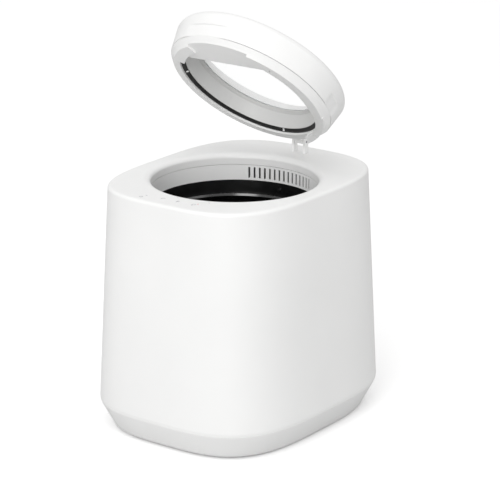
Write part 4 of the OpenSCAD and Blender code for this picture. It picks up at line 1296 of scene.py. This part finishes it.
    def tab(self) -> bpy.types.Object:
        """Make the deepening end of the deep ring."""
        shell = Shell(self.frame())
        rings = []
        start, end = self.tab_turns
        inside, outside = self.tab_r
        slope = math.tan(math.radians(self.tab_slope))
        for i in range(46):
            degrees = start + (end - start) * i / 45
            a = math.radians(degrees)
            drop = outside * math.sin(math.radians(end - degrees)) * slope
            low = min(self.deep, self.tab_low + drop)
            section = [(inside, self.deep), (outside - 0.4, low + 0.25), (outside - 0.1, low + 0.3),
                       (outside, low + 0.6), (outside, self.ledge - 0.6), (outside - 0.8, self.ledge + 0.4),
                       (inside, self.ledge + 0.4)]
            rings.append(shell.ring([(r * math.sin(a), -r * math.cos(a), z) for r, z in section]))
        shell.skin(rings, closed=False)
        return shell.make("rim_tab")

    def build_liner(self, fitter: Fitter) -> None:
        """Build the light liner with its fine steps round the window."""
        shell = Shell(self.frame())
        first, start = self.liner_steps[0]
        last = self.liner_steps[-1][0]
        top = self.liner_back[0][1]
        section = [(*self.liner_foot, 0.2), (first + 0.8, start, 0.25)]
        for r, z in self.liner_steps:
            section += [(r, z, 0.2), (r, z + self.liner_rise, 0.25)]
        section[-1] = (last, top, 0.2)
        shell.lathe(section + list(self.liner_back), 360)
        obj = shell.make("liner_skin")
        settle(obj, 24.0)
        fitter.place(obj, Body.LID, Slot.LIGHT, "lid_liner")

    def build(self, fitter: Fitter) -> None:
        """Build every moulding of the lid."""
        self.build_cap(fitter)
        self.build_rim(fitter)
        self.build_liner(fitter)


@dataclass(frozen=True)
class Stroke:
    """Line of a printed mark, as points in millimetres about its middle."""

    points: tuple[Point2, ...]
    closed: bool = False


def arc(radius: float, start: float, end: float, x: float = 0.0, y: float = 0.0) -> tuple[Point2, ...]:
    """Points of an arc between two angles in degrees."""
    steps = max(4, round(abs(end - start) / 12))
    turns = [math.radians(start + (end - start) * i / steps) for i in range(steps + 1)]
    return tuple((x + radius * math.cos(t), y + radius * math.sin(t)) for t in turns)


@dataclass(frozen=True)
class Mark:
    """Generic printed icon on the deck."""

    name: str
    x: float
    y: float
    strokes: tuple[Stroke, ...]
    width: float = 0.62
    size: float = 0.95

    def build(self, fitter: Fitter, ink: bpy.types.Material) -> None:
        """Print the icon.

        Args:
            fitter: Fixes the piece to the appliance.
            ink: Colour of the print.
        """
        shell = Shell(Matrix.Translation((self.x, self.y, DECK_Z)))
        for stroke in self.strokes:
            self.ribbon(shell, [Vector(p) * self.size for p in stroke.points], stroke.closed)
        obj = shell.make(self.name)
        fitter.place(obj, Body.APPLIANCE, Slot.GREY)
        fitter.palette.dress(obj, ink)

    def ribbon(self, shell: Shell, line: list[Vector], closed: bool) -> None:
        """Draw one line as a thin raised ribbon."""
        count = len(line)
        sides: list[list[Vector]] = [[], []]
        for i, spot in enumerate(line):
            before = line[i - 1] if i or closed else spot
            after = line[(i + 1) % count] if i < count - 1 or closed else spot
            along = (after - before).normalized()
            across = Vector((-along.y, along.x)) * self.width / 2
            sides[0].append(spot + across)
            sides[1].append(spot - across)
        rings = []
        for left, right in zip(*sides):
            rings.append(shell.ring([(*left, 0.0), (*right, 0.0), (*right, 0.04), (*left, 0.04)]))
        shell.skin(rings, closed)


@dataclass(frozen=True)
class Boss:
    """Screw boss shared by the housing and the base."""

    x: float = 104.0
    y: float = 69.8
    radius: float = 6.5
    low: float = 40.0
    high: float = 66.0


BOSS = Boss()
MARKS = (
    Mark("mark_clean", -37.1, -141.0, (Stroke(arc(2.2, 0, 348), True), Stroke(((0.0, -1.1), (0.0, 1.1))))),
    Mark("mark_dry", -11.7, -131.3,
         (Stroke(((-2.2, -1.2), (-1.1, -0.3), (0.0, -1.2), (1.1, -0.3), (2.2, -1.2))),
          Stroke(((-2.2, 1.0), (-1.1, 1.9), (0.0, 1.0), (1.1, 1.9), (2.2, 1.0))))),
    Mark("mark_leaf", 9.5, -130.7,
         (Stroke(arc(2.6, 20, 115, -0.9, -1.2)), Stroke(arc(2.6, 200, 295, 0.9, 1.2)),
          Stroke(((-1.8, -1.8), (1.2, 1.2))))),
    Mark("mark_power", 31.8, -130.2, (Stroke(arc(2.2, 120, 420)), Stroke(((0.0, 0.9), (0.0, 2.7))))),
    Mark("mark_drop", -0.6, -119.0, (Stroke(((-1.1, -0.6), (0.0, 1.3), (1.1, -0.6)), True),)),
    Mark("mark_lock", 42.3, -114.9, (Stroke(((-1.2, 0.0), (1.2, 0.0))), Stroke(((0.0, -0.9), (0.0, 0.9))))),
)


@dataclass(frozen=True)
class ReadyLight:
    """Tiny lit dot beside the last key."""

    x: float = 35.0
    y: float = -126.8
    radius: float = 0.7

    def build(self, fitter: Fitter) -> None:
        """Build the dot."""
        shell = Shell(Matrix.Translation((self.x, self.y, DECK_Z)))
        r = self.radius
        shell.lathe([(0.1, 0.0), (r, 0.0), (r, 0.12), (r * 0.7, 0.2), (0.1, 0.22)], 24, closed=False)
        obj = shell.make("ready_light")
        settle(obj)
        fitter.place(obj, Body.APPLIANCE, Slot.LENS)
        fitter.palette.dress(obj, PrintedMark("ready_red", (0.85, 0.22, 0.2)).build())


NODE_SLOTS: dict[Slot, tuple[str, ...]] = {
    Slot.WHITE: ("housing_shell", "mouth_ring", "base_tray", "filter_drawer", "lid_cap", "lid_rim",
                 "hinge_leaf", "hinge_bracket", "gasket_clips", "vent_collar"),
    Slot.LIGHT: ("lid_liner",),
    Slot.GREY: ("gearbox_case", "gearbox_cover", "idler_gear", "output_gear", "air_box", "exhaust_duct"),
    Slot.BLACK: ("funnel_ring", "drive_coupling", "fan_frame", "fan_impeller", "power_inlet", "lid_sensor"),
    Slot.COATING: ("bucket", "agitator_blades"),
    Slot.ALUMINIUM: ("well_liner", "heater_ring", "chassis_plate"),
    Slot.STEEL: ("base_screws", "chassis_screws", "humidity_probe", "idler_pin", "motor_body", "motor_pinion",
                 "output_shaft", "agitator_shaft", "filter_screen", "inlet_pins",
                 "hinge_pin", "hinge_washers", "bracket_screws", "leaf_screws", "lid_magnet"),
    Slot.BRASS: ("shaft_bearings", "bucket_bush"),
    Slot.RUBBER: ("rubber_feet", "shaft_seal", "lid_gasket"),
    Slot.FELT: ("insulation_jacket",),
    Slot.CARBON: ("filter_cartridge",),
    Slot.BOARD: ("control_board", "power_board", "touch_board"),
    Slot.LENS: ("indicator_lenses",),
    Slot.WINDOW: ("lid_window",),
}


def main() -> None:
    """Build the studio, dress the construction and add the shells."""
    logging.basicConfig(level=logging.INFO, format="%(name)s: %(message)s")
    Studio().build()
    palette = Palette()
    for slot, names in NODE_SLOTS.items():
        palette.dress_nodes(slot, names)
    fitter = Fitter(palette)
    for piece in (Housing(), Base(), Throat(), Bucket(), Lid(), ReadyLight()):
        piece.build(fitter)
    ink = PrintedMark("grey_ink", (0.72, 0.72, 0.73)).build()
    for mark in MARKS:
        mark.build(fitter, ink)


if __name__ == "__main__":
    main()
